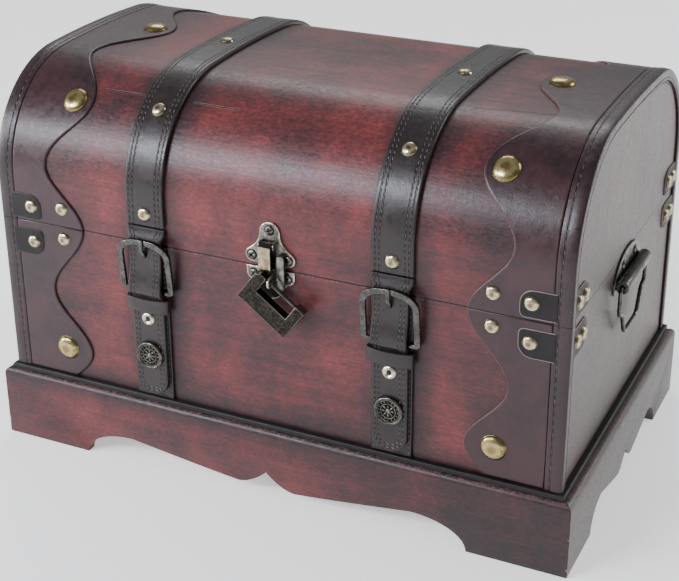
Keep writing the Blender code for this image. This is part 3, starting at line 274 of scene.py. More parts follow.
def wood(name, along_y=False, dark=0.0, sheen_grey=0.0, specular=0.36):
    """Cherry stain over close grain, rubbed red in the fields, darker towards the leather with
    some smoke stain and painted shadow, and greyed on the end faces by painted sheen.
    """
    look = Look(name, 0.42, 0.0, 0.0, 0.22, specular)
    long = (1.0, 0.07, 1.0) if along_y else (0.07, 1.0, 1.0)
    depth = look.size(look.less(look.y, DEPTH_SHIFT * MM))
    reach = look.size(look.x)
    clouds = look.noise(11.0, 4.0, 0.55, shift=3.1, warp=0.5)
    rubs = look.noise(34.0, 6.0, 0.66, (0.8, 1.0, 0.55), shift=1.7, warp=0.3)
    streaks = look.noise(520.0, 5.0, 0.65, long, shift=0.4)
    brush = look.noise(150.0, 6.0, 0.7, long, shift=2.2)
    specks = look.noise(1300.0, 2.0, 0.5, shift=5.0)
    grains = look.noise(640.0, 4.0, 0.75, (0.45, 0.45, 1.0), shift=6.4)
    tone = look.sway(clouds, 0.70, 0.455)
    for layer, share in ((rubs, 0.50), (brush, 0.30), (streaks, 0.22), (grains, 0.62)):
        tone = look.sway(layer, share, tone)
    # painted shade and shadow, with some smoke stain, darken the tone here
    tone = look.sum("MULTIPLY_ADD", stain_and_shade_on(look, reach, clouds), -0.25, tone)
    tone = look.less(tone, dark)
    shade = look.shades(tone, [
        (0.14, (0.016, 0.010, 0.011)), (0.32, (0.046, 0.015, 0.017)),
        (0.47, (0.092, 0.020, 0.022)), (0.60, (0.150, 0.028, 0.028)),
        (0.78, (0.235, 0.050, 0.045)),
    ])
    # painted sheen: a greyer copy of the stain, blended in on the end faces for their glancing
    # reflection of the bright floor and lamps
    painted_sheen = look.shades(tone, [(0.2, (0.042, 0.035, 0.030)), (0.5, (0.105, 0.082, 0.070)),
                              (0.75, (0.190, 0.135, 0.118))])
    sheen_share = look.fade(look.noise(16.0, 4.0, 0.6, shift=7.0), 0.36, 0.66, sheen_grey * 0.6, sheen_grey)
    gap = look.near(look.z, SEAM_Z * MM, 0.00035, 0.00035)
    creases = creases_on(look)
    bare = look.shades(brush, [(0.3, (0.060, 0.028, 0.020)), (0.7, (0.13, 0.065, 0.045))])
    for share, colour in (
            (sheen_share, painted_sheen),
            (look.fade(specks, 0.62, 0.74, 0.0, 0.45), (0.030, 0.011, 0.013)),
            (look.times(gap, 0.9), (0.008, 0.005, 0.005)),
            (worn_on(look, reach, depth), (0.27, 0.165, 0.155)),
            (look.times(creases, 0.6), (0.020, 0.010, 0.010)),
            (inside_of(look, reach, depth), bare)):
        shade = look.blend(share, shade, colour)
    look.colour(shade)
    look.gloss(grains, 0.29, 0.47)
    look.relief((streaks, 0.25, 0.0003), (brush, 0.2, 0.0006), (grains, 0.25, 0.0003),
                (creases, 0.5, -0.0005), (rubs, 0.3 + 0.5 * sheen_grey, 0.0015))
    return look.material


def leather(name, deep, shallow, worn, roughness, grain=0.35, coat=0.1, specular=0.36):
    """Smooth hide with fine pores, soft creases and paler worn places."""
    look = Look(name, roughness, 0.0, coat, 0.25, specular)
    clouds = look.noise(22.0, 5.0, 0.6, shift=4.0, warp=0.6)
    mottle = look.noise(160.0, 5.0, 0.65, shift=2.0)
    pores = look.cells(1500.0)
    creases = look.cells(260.0, "DISTANCE_TO_EDGE", (1.0, 1.0, 0.6))
    tone = look.sway(mottle, 0.6, clouds)
    shade = look.shades(tone, [(0.3, deep), (0.62, shallow)])
    rubbed = look.fade(look.noise(60.0, 6.0, 0.75, shift=9.0), 0.60, 0.74, 0.0, 0.55)
    look.colour(look.blend(rubbed, shade, worn))
    look.gloss(mottle, roughness - 0.07, roughness + 0.12)
    folds = look.noise(75.0, 4.0, 0.6, (1.0, 1.0, 0.5), shift=5.5)
    look.relief((creases, grain * 0.5, 0.0004), (pores, grain, 0.00022),
                (mottle, 0.25, 0.0006), (folds, 0.25, 0.0014))
    return look.material


def metal(name, bright, stained, dark, roughness, tarnish, pits=0.2, fineness=1.0):
    """Antique plating: bright, stained and dark in blotches."""
    look = Look(name, roughness, 1.0)
    blotches = look.noise(190.0 * fineness, 6.0, 0.7, shift=1.0, warp=0.5)
    fine = look.noise(900.0 * fineness, 5.0, 0.7, shift=6.0)
    tone = look.sway(fine, 0.7, blotches)
    tone = look.sum("ADD", tone, (0.5 - tarnish) * 0.3)
    look.colour(look.shades(tone, [(0.26, dark), (0.44, stained), (0.62, bright)]))
    look.gloss(look.less(1.0, tone), roughness - 0.08, roughness + 0.18)
    look.relief((fine, pits, 0.00018), (blotches, pits * 0.7, 0.0004))
    return look.material


def nail_brass(name, bright, stained, rim_shade, crown_reflection):
    """Worn plating on nail heads: pale on the dome, with painted olive shade at the rim and a
    painted brown reflection on the crown.
    """
    look = Look(name, 0.2, 1.0)
    blotches = look.noise(330.0, 5.0, 0.7, shift=1.0, warp=0.5)
    fine = look.noise(900.0, 5.0, 0.7, shift=6.0)
    tone = look.sway(fine, 0.5, blotches)
    plating = look.shades(tone, [(0.34, stained), (0.58, bright)])
    middle = look.add("ShaderNodeAttribute")
    middle.attribute_name = "middle"
    ragged = look.sway(blotches, 0.9, middle.outputs["Fac"])
    # painted shade at the rim and a painted dark reflection on the crown
    plating = look.blend(look.fade(ragged, 0.04, 0.40, 0.85, 0.0), plating, rim_shade)
    plating = look.blend(look.fade(ragged, 0.50, 0.82, 0.0, 0.85), plating, crown_reflection)
    look.colour(plating)
    look.gloss(look.less(1.0, tone), 0.16, 0.36)
    look.relief((fine, 0.06, 0.00018), (blotches, 0.05, 0.0004))
    return look.material


def thread(name):
    """Waxed black thread."""
    look = Look(name, 0.5, 0.0, 0.15)
    twist = look.noise(1800.0, 3.0, 0.6)
    look.colour(look.shades(twist, [(0.3, (0.024, 0.019, 0.018)), (0.7, (0.13, 0.105, 0.10))]))
    look.relief((twist, 0.3, 0.0002))
    return look.material


LOOKS = {
    "wood": wood("cherry_wood"),
    # the end boards' greyer look is painted sheen
    "end_wood": wood("cherry_wood_ends", True, 0.02, 0.75, 0.6),
    "plinth_wood": wood("plinth_wood", False, 0.06),
    "plinth_end_wood": wood("plinth_wood_ends", True, 0.08, 0.7, 0.55),
    "band": leather("band_leather", (0.010, 0.006, 0.007), (0.026, 0.011, 0.014),
                    (0.085, 0.046, 0.047), 0.32),
    "patch": leather("patch_leather", (0.014, 0.006, 0.008), (0.034, 0.011, 0.014),
                     (0.070, 0.021, 0.023), 0.34, 0.22, 0.15),
    "corner": leather("corner_leather", (0.006, 0.0052, 0.0055), (0.013, 0.0108, 0.0112),
                      (0.024, 0.019, 0.020), 0.42, 0.35, 0.0, 0.22),
    "strap": leather("strap_leather", (0.0085, 0.0058, 0.0058), (0.020, 0.0135, 0.0135),
                     (0.038, 0.027, 0.026), 0.32, 0.28, 0.2, 0.30),
    # pale cut edge: raw-edge colour with painted highlight, used only on the right-hand tabs
    "edge": leather("cut_edge", (0.12, 0.09, 0.088), (0.24, 0.19, 0.185),
                    (0.32, 0.26, 0.25), 0.5),
    # pale cut edge of the right-hand patches: worn colour with painted highlight
    "worn_edge": leather("worn_edge", (0.030, 0.011, 0.013), (0.13, 0.045, 0.043),
                         (0.30, 0.15, 0.14), 0.5),
    "thread": thread("black_thread"),
    "pewter": metal("pewter", (0.215, 0.205, 0.18), (0.13, 0.122, 0.105), (0.04, 0.036, 0.031),
                    0.30, 0.5, 0.12),
    "pale_pewter": metal("pale_pewter", (0.66, 0.61, 0.52), (0.44, 0.40, 0.33),
                         (0.14, 0.12, 0.10), 0.24, 0.35, 0.08),
    "khaki_pewter": metal("khaki_pewter", (0.44, 0.37, 0.24), (0.27, 0.22, 0.135),
                          (0.09, 0.07, 0.04), 0.32, 0.5, 0.2),
    "dark_pewter": metal("dark_pewter", (0.110, 0.106, 0.098), (0.062, 0.060, 0.055),
                         (0.030, 0.029, 0.027), 0.25, 0.5, 0.06),
    "lock_face": metal("lock_face", (0.085, 0.072, 0.048), (0.028, 0.025, 0.020),
                       (0.010, 0.009, 0.008), 0.36, 0.8, 0.7, 3.0),
    "brass": metal("old_brass", (0.43, 0.335, 0.150), (0.25, 0.185, 0.075),
                   (0.075, 0.048, 0.020), 0.21, 0.42, 0.05),
    # the nails' olive and brown are painted rim shade and crown reflection
    "nail": nail_brass("nail_brass", (0.61, 0.54, 0.39), (0.34, 0.28, 0.16),
                       (0.115, 0.095, 0.042), (0.12, 0.070, 0.034)),
    "big_nail": nail_brass("big_nail_brass", (0.50, 0.405, 0.195), (0.31, 0.24, 0.105),
                           (0.125, 0.100, 0.036), (0.19, 0.135, 0.060)),
    "recess": metal("screw_recess", (0.035, 0.032, 0.028), (0.018, 0.017, 0.015),
                    (0.006, 0.006, 0.005), 0.6, 0.7),
}

# The look of each plain CAD node goes by the first of these words in its name
KINDS = (
    ("plinth_left", "plinth_end_wood"), ("plinth_right", "plinth_end_wood"),
    ("plinth", "plinth_wood"), ("_end", "end_wood"), ("panel", "wood"), ("shell", "wood"),
    ("hinge", "brass"), ("latch", "pewter"), ("handle", "pewter"), ("padlock", "dark_pewter"),
    ("buckle", "dark_pewter"), ("concho", "dark_pewter"), ("strap", "strap"),
    ("keeper", "strap"), ("patch", "patch"), ("corner", "corner"), ("", "band"),
)
for node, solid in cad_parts.items():
    solid.data.materials.clear()
    solid.data.materials.append(LOOKS[next(look for word, look in KINDS if word in node)])


# Making and finishing pieces
def outward(bm):
    bmesh.ops.recalc_face_normals(bm, faces=bm.faces)


def shift(bm, way):
    bmesh.ops.translate(bm, verts=bm.verts, vec=way)


def mesh_of(name, bm):
    data = bpy.data.meshes.new(name)
    bm.to_mesh(data)
    bm.free()
    return data


def in_scene(name, data):
    item = bpy.data.objects.new(name, data)
    bpy.context.scene.collection.objects.link(item)
    return item


def finish_piece(name, bm, look, body, node=None, angle=38.0):
    """Makes a named piece in metres from a mesh in millimetres, on its body."""
    bmesh.ops.remove_doubles(bm, verts=bm.verts, dist=0.0004)
    outward(bm)
    shift(bm, (0.0, DEPTH_SHIFT, 0.0))
    bmesh.ops.scale(bm, verts=bm.verts, vec=(MM, MM, MM))
    mesh = mesh_of(name, bm)
    for item in (look if isinstance(look, tuple) else (look,)):
        mesh.materials.append(LOOKS[item])
    mesh.shade_smooth()
    mesh.set_sharp_from_angle(angle=math.radians(angle))
    piece = in_scene(name, mesh)
    if node:
        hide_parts(node)
    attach(piece, body)


def dress(node, bm, look, body, angle=38.0):
    """The finished piece that stands for a CAD node."""
    finish_piece(node + "_dressed", bm, look, body, node, angle)


def paint(bm, index, chosen):
    """Gives the chosen faces the piece's second or third look."""
    for face in bm.faces:
        if chosen(face, face.calc_center_median()):
            face.material_index = index
    return bm


def merge(meshes):
    """Several meshes in one."""
    whole = bmesh.new()
    for bm in meshes:
        data = mesh_of("merge", bm)
        whole.from_mesh(data)
        bpy.data.meshes.remove(data)
    return whole


def shown_mesh(item):
    """An object's mesh as its modifiers or its curve's bevel leave it."""
    bpy.context.view_layer.update()
    shown = item.evaluated_get(bpy.context.evaluated_depsgraph_get())
    data = bpy.data.meshes.new_from_object(shown)
    bm = bmesh.new()
    bm.from_mesh(data)
    bpy.data.meshes.remove(data)
    return bm


def combine(base, other, operation="DIFFERENCE"):
    """The Boolean of two meshes."""
    items = []
    for bm in (base, other):
        outward(bm)
        items.append(in_scene("step", mesh_of("step", bm)))
    change = items[0].modifiers.new("step", "BOOLEAN")
    change.operation = operation
    change.solver = "EXACT"
    change.object = items[1]
    bm = shown_mesh(items[0])
    for item in items:
        data = item.data
        bpy.data.objects.remove(item, do_unlink=True)
        bpy.data.meshes.remove(data)
    bmesh.ops.remove_doubles(bm, verts=bm.verts, dist=0.0005)
    return bm


def copy_node(node):
    """A merged copy of a CAD node in the drawing's millimetres."""
    bm = bmesh.new()
    bm.from_mesh(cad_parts[node].data)
    bmesh.ops.scale(bm, verts=bm.verts, vec=(1 / MM, 1 / MM, 1 / MM))
    shift(bm, (0.0, -DEPTH_SHIFT, 0.0))
    bmesh.ops.remove_doubles(bm, verts=bm.verts, dist=0.002)
    bmesh.ops.dissolve_limit(bm, angle_limit=math.radians(0.5), verts=bm.verts, edges=bm.edges)
    return bm


def arc(x, y, radius, start, end, steps):
    """Points on an arc, both ends included, its angles given in degrees."""
    points = []
    for k in range(steps + 1):
        angle = math.radians(start + (end - start) * k / steps)
        points.append((x + radius * math.cos(angle), y + radius * math.sin(angle)))
    return points


def mirrored(points):
    return [(-a, b) for a, b in reversed(points)]


def prism(outline, axis, low, high):
    """A flat outline pushed along X, Y or Z. The outline's pairs are the other two coordinates."""
    place = {
        "x": lambda a, b: (low, a, b),
        "y": lambda a, b: (a, low, b),
        "z": lambda a, b: (a, b, low),
    }[axis]
    step = {"x": (1, 0, 0), "y": (0, 1, 0), "z": (0, 0, 1)}[axis]
    bm = bmesh.new()
    face = bm.faces.new([bm.verts.new(place(a, b)) for a, b in outline])
    made = bmesh.ops.extrude_face_region(bm, geom=[face], use_keep_orig=True)
    top = [v for v in made["geom"] if isinstance(v, bmesh.types.BMVert)]
    bmesh.ops.translate(bm, verts=top, vec=Vector(step) * (high - low))
    outward(bm)
    return bm


def cylinder(centre, axis, radius, low, high, segments):
    return prism(arc(centre[0], centre[1], radius, 0.0, 360.0, segments)[:-1], axis, low, high)


def block(low, high):
    bm = bmesh.new()
    bmesh.ops.create_cube(bm, size=1.0)
    bmesh.ops.scale(bm, verts=bm.verts, vec=[b - a for a, b in zip(low, high)])
    bmesh.ops.translate(bm, verts=bm.verts, vec=[(a + b) / 2 for a, b in zip(low, high)])
    return bm


def soften(bm, radius, segments, chosen, angle=40.0):
    """Rounds the chosen edges, or all edges sharper than the angle."""
    edges = []
    for edge in bm.edges:
        if len(edge.link_faces) != 2:
            continue
        a, b = edge.verts[0].co, edge.verts[1].co
        if edge.calc_face_angle(0.0) < math.radians(angle):
            continue
        if chosen is None or chosen((a + b) / 2, (b - a).normalized()):
            edges.append(edge)
    bmesh.ops.bevel(bm, geom=edges, offset=radius, offset_type="OFFSET", segments=segments,
                    profile=0.5, affect="EDGES", clamp_overlap=True, material=-1)
    return bm


def lid_point(s, out):
    """The place (y, z) and outward direction at a run s from the front shoulder's foot."""
    if s > MIDDLE_S:
        y, z, ny, nz = lid_point(2 * MIDDLE_S - s, out)
        return -y, z, -ny, nz
    if s <= 0.0:
        return -WOOD_Y - out, SHOULDER_Z + s, -1.0, 0.0
    if s <= SHOULDER_RUN:
        angle = math.pi - s / (SHOULDER_R + BAND_OUT)
        ny, nz = math.cos(angle), math.sin(angle)
        r = SHOULDER_R + out
        return -SHOULDER_Y + r * ny, SHOULDER_Z + r * nz, ny, nz
    angle = math.pi / 2 + LEAN - (s - SHOULDER_RUN) / CROWN_R
    ny, nz = math.cos(angle), math.sin(angle)
    return (CROWN_R + out) * ny, CROWN_Z + (CROWN_R + out) * nz, ny, nz


def over_lid(section):
    """Sweeps a closed section of (x, out) points over the lid from front to back."""
    bm = bmesh.new()
    face = bm.faces.new([bm.verts.new((x, -WOOD_Y - out, LID_BOTTOM)) for x, out in section])
    loop = list(face.edges)
    upright, turn = SHOULDER_Z - LID_BOTTOM, math.pi / 2 - LEAN
    for centre, amount, steps in (
            (None, upright, 1), ((0.0, -SHOULDER_Y, SHOULDER_Z), turn, 36),
            ((0.0, 0.0, CROWN_Z), 2 * LEAN, 8), ((0.0, SHOULDER_Y, SHOULDER_Z), turn, 36),
            (None, -upright, 1)):
        if centre is None:
            made = bmesh.ops.extrude_edge_only(bm, edges=loop)["geom"]
            moved = [v for v in made if isinstance(v, bmesh.types.BMVert)]
            bmesh.ops.translate(bm, verts=moved, vec=(0.0, 0.0, amount))
            loop = [e for e in made if isinstance(e, bmesh.types.BMEdge)
                    and e.verts[0] in moved and e.verts[1] in moved]
        else:
            made = bmesh.ops.spin(bm, geom=loop, cent=centre, axis=(-1.0, 0.0, 0.0),
                                  dvec=(0.0, 0.0, 0.0), angle=amount, steps=steps,
                                  use_merge=False, use_duplicate=False)
            loop = [e for e in made["geom_last"] if isinstance(e, bmesh.types.BMEdge)]
    bmesh.ops.edgeloop_fill(bm, edges=loop)
    outward(bm)
    return bm


# Leather cut and grooved in the flat, then bent into place
def cut(bm, point, way, clear=False):
    """Cuts a mesh through along a plane, and can clear what lies beyond it."""
    geometry = list(bm.verts) + list(bm.edges) + list(bm.faces)
    bmesh.ops.bisect_plane(bm, geom=geometry, dist=1e-5, plane_co=point, plane_no=way,
                           clear_outer=clear)


def hide(outline, thick, rim, grooves=(), groove_wide=1.1, groove_deep=0.4):
    """A flat piece of leather in X and Y, its face upward, with a rounded rim and grooves."""
    bm = bmesh.new()
    face = bm.faces.new([bm.verts.new((a, b, 0.0)) for a, b in outline])
    face.normal_update()
    if face.normal.z < 0:
        face.normal_flip()
    made = bmesh.ops.extrude_face_region(bm, geom=[face], use_keep_orig=True)
    top = [f for f in made["geom"] if isinstance(f, bmesh.types.BMFace)][0]
    bmesh.ops.translate(bm, verts=top.verts, vec=(0.0, 0.0, thick - rim * 0.8))

    def inset(*steps):
        for depth, lift in steps:
            bmesh.ops.inset_region(bm, faces=[top], thickness=depth, depth=lift,
                                   use_even_offset=True)

    inset((rim * 0.35, rim * 0.5), (rim * 0.65, rim * 0.3), (0.5, 0.0))
    reached = rim * 0.35 + rim * 0.65 + 0.5
    for place in grooves:
        inset((place - groove_wide / 2 - reached, 0.0), (groove_wide * 0.25, -groove_deep),
              (groove_wide * 0.5, 0.0), (groove_wide * 0.25, groove_deep))
        reached = place + groove_wide / 2
    if grooves:
        inset((0.4, 0.0))
    outward(bm)
    return bm


def trim(bm, low):
    """Cuts a flat piece off straight at y = low and closes the cut."""
    cut(bm, (0.0, low, 0.0), (0.0, -1.0, 0.0), True)
    bmesh.ops.holes_fill(bm, edges=[edge for edge in bm.edges if edge.is_boundary], sides=0)
    outward(bm)
    return bm


def stitches(rows, long, wide, high, level):
    """Short threads along flat lines. Each row is a list of (x, y, direction in degrees)."""
    bm = bmesh.new()
    for x, y, way in rows:
        place = Matrix.Translation((x, y, level)) @ Matrix.Rotation(math.radians(way), 4, "Z")
        size = Matrix.Diagonal((long / 2, wide / 2, high, 1.0))
        bmesh.ops.create_icosphere(bm, subdivisions=1, radius=1.0, matrix=place @ size)
    return bm


def stitch_row(points, pitch):
    """Evenly spaced stitches along a line of points."""
    places = []
    spare = pitch / 2
    for (ax, ay), (bx, by) in zip(points, points[1:]):
        run = math.hypot(bx - ax, by - ay)
        way = math.degrees(math.atan2(by - ay, bx - ax))
        while spare < run:
            t = spare / run
            places.append((ax + (bx - ax) * t, ay + (by - ay) * t, way))
            spare += pitch
        spare -= run
    return places


def bend(bm, place, cuts=()):
    """Cuts a flat piece across at each y, then moves every point to place(x, y, height)."""
    for y in cuts:
        cut(bm, (0.0, y, 0.0), (0.0, 1.0, 0.0))
    for vert in bm.verts:
        vert.co = place(*vert.co)
    return bm


def seams(places, start, end, pitch=4.3):
    """Straight rows of stitches, one at each x."""
    rows = []
    for x in places:
        rows += stitch_row([(x, start), (x, end)], pitch)
    return rows


def sew(piece, rows, form, rule, body):
    """The threads of a piece: their length, width, height and level are its form."""
    finish_piece(piece + "_thread", bend(stitches(rows, *form), rule), "thread", body)


def on_lid(lift):
    """Bending rule for pieces over the lid: y is the run from the front shoulder's foot."""
    return lambda x, y, h: Vector((x, *lid_point(y, lift + h)[:2]))


def on_wall(sy, lift):
    """Bending rule for pieces on the front or back wall: y is the height."""
    return lambda x, y, h: Vector((x, sy * (WOOD_Y + lift + h), y))


def beside(rule, x0):
    """A bending rule moved sideways."""
    return lambda x, y, h: rule(x0 + x, y, h)


def steps_between(low, high, step):
    count = max(1, int(round((high - low) / step)))
    return [low + (high - low) * k / count for k in range(1, count)]


# Nails and screws
def spun(profile, steps):
    """A round shape from half its outline as (radius, height)."""
    bm = bmesh.new()
    verts = [bm.verts.new((r, 0.0, h)) for r, h in profile]
    edges = [bm.edges.new(pair) for pair in zip(verts, verts[1:])]
    bmesh.ops.spin(bm, geom=verts + edges, cent=(0, 0, 0), axis=(0, 0, 1), dvec=(0, 0, 0),
                   angle=2 * math.pi, steps=steps, use_merge=True, use_duplicate=False)
    bmesh.ops.remove_doubles(bm, verts=bm.verts, dist=0.001)
    outward(bm)
    return bm


def nail_head(radius, rise, steps):
    """A low dome whose points know how near the middle they are, for its painted rim shade and
    crown reflection.
    """
    profile = [(0.0, rise)]
    for k in range(1, 9):
        angle = math.radians(90.0 - 10.6 * k)
        profile.append((radius * 0.98 * math.cos(angle), rise * math.sin(angle)))
    profile += [(radius, rise * 0.05), (radius * 0.99, -0.35), (0.0, -0.35)]
    bm = spun(profile, steps)
    middle = bm.verts.layers.float.new("middle")
    for vert in bm.verts:
        vert[middle] = 1.0 - math.hypot(vert.co.x, vert.co.y) / radius
    return bm


def screw_head(radius, rise, cross):
    profile = [(0.0, rise)]
    for k in range(1, 7):
        angle = math.radians(90.0 - 13.5 * k)
        profile.append((radius * math.cos(angle), rise * (0.25 + 0.75 * math.sin(angle))))
    profile += [(radius, 0.0), (radius * 0.98, -0.3), (0.0, -0.3)]
    return combine(spun(profile, 24), slot_bars(radius, rise * 0.35, rise + 1.0, cross))


def slot_bars(radius, low, high, cross):
    """The bar or cross that a screw's slot is cut with."""
    w, reach = radius * 0.17, radius * (0.66 if cross else 0.98)
    bar = block((-reach, -w, low), (reach, w, high))
    if not cross:
        return bar
    return combine(bar, block((-w, -reach, low), (w, reach, high)), "UNION")


def screws(name, places, body, radius, rise, look="pewter", cross=True):
    """Screw heads with a dark recess and a dark ring where they sit."""
    finish_piece(name, set_on(screw_head(radius, rise, cross), places), look, body)
    ring = spun([(0.0, 0.12), (radius + 0.35, 0.12), (radius + 0.7, 0.0), (0.0, -0.1)], 24)
    sunk = slot_bars(radius * 0.97, rise * 0.25, rise * 0.42, cross)
    finish_piece(name + "_recess", set_on(merge([ring, sunk]), places), "recess", body)


def set_on(template, places):
    """Copies of a small part at each (point, outward direction, turn in degrees)."""
    data = mesh_of("template", template)
    whole = bmesh.new()
    for point, out, turn in places:
        start = len(whole.verts)
        whole.from_mesh(data)
        whole.verts.ensure_lookup_table()
        added = [whole.verts[k] for k in range(start, len(whole.verts))]
        aim = Vector((0, 0, 1)).rotation_difference(Vector(out)).to_matrix().to_4x4()
        spin = Matrix.Rotation(math.radians(turn), 4, "Z")
        bmesh.ops.transform(whole, verts=added, matrix=Matrix.Translation(point) @ aim @ spin)
    bpy.data.meshes.remove(data)
    return whole


def nails(name, places, body, big=False):
    """Domed nail heads, each turned a little further so that no two facets line up."""
    radius, rise, steps = (9.3, 3.8, 32) if big else (5.3, 2.6, 24)
    places = [(p, o, 37.0 * k) for k, (p, o) in enumerate(places)]
    look = "big_nail" if big else "nail"
    finish_piece(name, set_on(nail_head(radius, rise, steps), places), look, body)


# Camera at the photograph's angle
def make_camera():
    """The camera's place and turn as worked out from the photograph's edges."""
    yaw, pitch, roll = math.radians(25.087), math.radians(23.849), math.radians(-0.172)
    fwd = Vector((-math.sin(yaw) * math.cos(pitch), math.cos(yaw) * math.cos(pitch),
                  -math.sin(pitch)))
    right = Vector((math.cos(yaw), math.sin(yaw), 0.0))
    up = right.cross(fwd)
    x_axis = right * math.cos(roll) + up * math.sin(roll)
    y_axis = up * math.cos(roll) - right * math.sin(roll)
    turn = Matrix((x_axis, y_axis, -fwd)).transposed().to_4x4()
    data = bpy.data.cameras.new("camera")
    data.lens = 78.5267
    data.shift_x = -0.01841
    data.shift_y = -0.07732
    camera = in_scene("camera", data)
    camera.matrix_world = Matrix.Translation((0.4386, -0.9253, 0.6038)) @ turn
    bpy.context.scene.camera = camera


def light(name, place, aim, size, power, colour=(1.0, 1.0, 1.0), along=(1.0, 0.0, 0.0)):
    """A soft rectangular light whose long side lies as near as it can to a direction."""
    data = bpy.data.lights.new(name, "AREA")
    data.shape = "RECTANGLE"
    data.size, data.size_y = size
    data.energy = power
    data.color = colour
    item = in_scene(name, data)
    back = (Vector(place) - Vector(aim)).normalized()
    up = back.cross(Vector(along)).normalized()
    turn = Matrix((up.cross(back), up, back)).transposed()
    item.matrix_world = Matrix.Translation(place) @ turn.to_4x4()


def make_studio():
    bm = bmesh.new()
    bmesh.ops.create_grid(bm, x_segments=1, y_segments=1, size=6.0)
    shift(bm, (0.0, 0.0, -0.0002))
    floor = in_scene("floor", mesh_of("floor", bm))
    pale = Look("pale_floor", 0.75)
    pale.colour(pale.shades(pale.noise(2.0, 2.0),
                            [(0.3, (0.86, 0.86, 0.86)), (0.7, (0.88, 0.88, 0.88))]))
    pale.shader.inputs["Emission Color"].default_value = (1.0, 1.0, 1.0, 1.0)
    pale.shader.inputs["Emission Strength"].default_value = 0.62
    floor.data.materials.append(pale.material)
    world = bpy.data.worlds.new("studio")
    world.use_nodes = True
    back = world.node_tree.nodes["Background"]
    back.inputs["Color"].default_value = (0.96, 0.98, 1.0, 1.0)
    back.inputs["Strength"].default_value = 0.40
    bpy.context.scene.world = world
    light("front_softbox", (-0.72, -1.25, 0.93), (-0.05, -0.1, 0.24), (0.86, 0.30), 28.0,
          (0.86, 0.90, 1.0), (0.95, -0.13, 0.27))
    light("left_softbox", (-2.0, -1.1, 0.65), (0.0, 0.0, 0.12), (0.7, 0.7), 38.0)
    light("back_softbox", (-0.9, 2.0, 2.2), (0.0, 0.0, 0.1), (1.6, 0.8), 24.0)
    light("right_softbox", (1.9, 1.3, 1.2), (0.3, 0.3, 0.0), (1.2, 1.2), 38.0)


# Wood
def make_lid_shell():
    section = [(-WOOD_X, -WALL), (-WOOD_X, 0.0), (WOOD_X, 0.0), (WOOD_X, -WALL)]
    dress("lid_shell", over_lid(section), "wood", "lid")


def apron_edge(foot, arch, bulge):
    """The plinth's lower edge from the middle cusp out to the foot, as (distance, height)."""
    crest, arch_height, bulge_z, cusp_z = foot - arch, 20.5, 9.6, 21.7
    points = []
    for k in range(12):
        t = k / 12
        points.append((bulge * t, bulge_z + (cusp_z - bulge_z) * (1 - t) ** 1.8))
    for k in range(8):
        t = k / 8
        points.append((bulge + (crest - bulge) * t, bulge_z + (arch_height - bulge_z) * t ** 1.1))
    for k in range(19):
        angle = math.radians(90.0 * k / 18)
        points.append((crest + arch * math.sin(angle), arch_height * math.cos(angle)))
    return points


def make_plinth():
    """Mitred boards, each cut out below and rounded along its top edge."""
    # Half length, distance out, foot, arch, bulge, thickness and the neighbour's thickness
    long = (HALF_LENGTH, HALF_DEPTH, 72.0, 41.0, 23.0, 7.7, 10.2)
    short = (HALF_DEPTH, HALF_LENGTH, 54.4, 24.0, 17.0, 10.2, 7.7)
    boards = (("front", 0, long), ("back", 180, long), ("right", 90, short), ("left", -90, short))
    for name, angle, (half, away, foot_wide, arch, bulge, thick, other) in boards:
        foot = half - foot_wide
        half -= GAP / 2
        right = apron_edge(foot, arch, bulge) + [(half, 0.0), (half, PLINTH_HEIGHT)]
        bm = prism(mirrored(right) + right[1:], "y", 0.0, thick)
        for vert in bm.verts:
            if vert.co.y > thick / 2 and abs(vert.co.x) > half - 0.01:
                vert.co.x = math.copysign(half - other, vert.co.x)
        soften(bm, 5.0, 6, lambda mid, way: (
            mid.z > PLINTH_HEIGHT - 0.01 and mid.y < 0.01 and abs(way.x) > 0.9))
        soften(bm, 0.7, 2, lambda mid, way: (
            mid.y < 0.01 and mid.z < 50 and abs(way.y) < 0.1 and abs(mid.x) < half - 0.1))
        shift(bm, (0, -away, 0))
        bmesh.ops.rotate(bm, verts=bm.verts, matrix=Matrix.Rotation(math.radians(angle), 3, "Z"))
        look = "plinth_wood" if name in ("front", "back") else "plinth_end_wood"
        dress("plinth_" + name, bm, look, "box")


# Bands, piping and patches
def band_section(side):
    """The rounded L of the edge bands as (x, out)."""
    r, start = 1.5, BAND_X - 12.5
    points = [(start, GAP), (start, 1.15), (start + 0.35, 1.55), (start + 0.9, 1.7),
              (start + 3.2, 1.75), (start + 3.5, 1.35), (start + 4.1, 1.35), (start + 4.4, 1.8),
              (start + 6.5, 2.15), (start + 9.0, 2.1)]
    points += arc(BAND_X - r, BAND_OUT - r, r, 80.0, 0.0, 5)
    points += [(BAND_X, -3.6), (BAND_X - 0.45, -3.9), (BAND_X - 0.45, -4.4), (BAND_X, -4.7),
               (BAND_X, BAND_OUT - 7.3), (BAND_X - 0.5, BAND_OUT - 8.0),
               (WOOD_X + GAP, BAND_OUT - 8.0), (WOOD_X + GAP, GAP)]
    points = [(side * a, b) for a, b in points]
    return points if side > 0 else points[::-1]


def make_bands():
    form = (4.0, 0.7, 0.35, 1.1)
    low = LID_BOTTOM - SHOULDER_Z
    for name, side in SIDES:
        dress("lid_band_" + name, over_lid(band_section(side)), "band", "lid")
        for face, sy in FACES:
            outline = [(x, sy * (WOOD_Y + out)) for x, out in band_section(side)]
            bm = prism(outline, "z", LEDGE_TOP, BOX_TOP)
            dress("box_band_" + face + "_" + name, bm, "band", "box")
        x = side * (BAND_X - 12.5 + 3.8)
        rows = seams([x], low + 3, 2 * MIDDLE_S - low - 3, 6.2)
        sew("lid_band_" + name, rows, form, on_lid(0.35), "lid")
        for face, sy in FACES:
            rows = seams([x], LEDGE_TOP + 2, BOX_TOP - 2, 6.2)
            sew("box_band_" + face + "_" + name, rows, form, on_wall(sy, 0.35), "box")


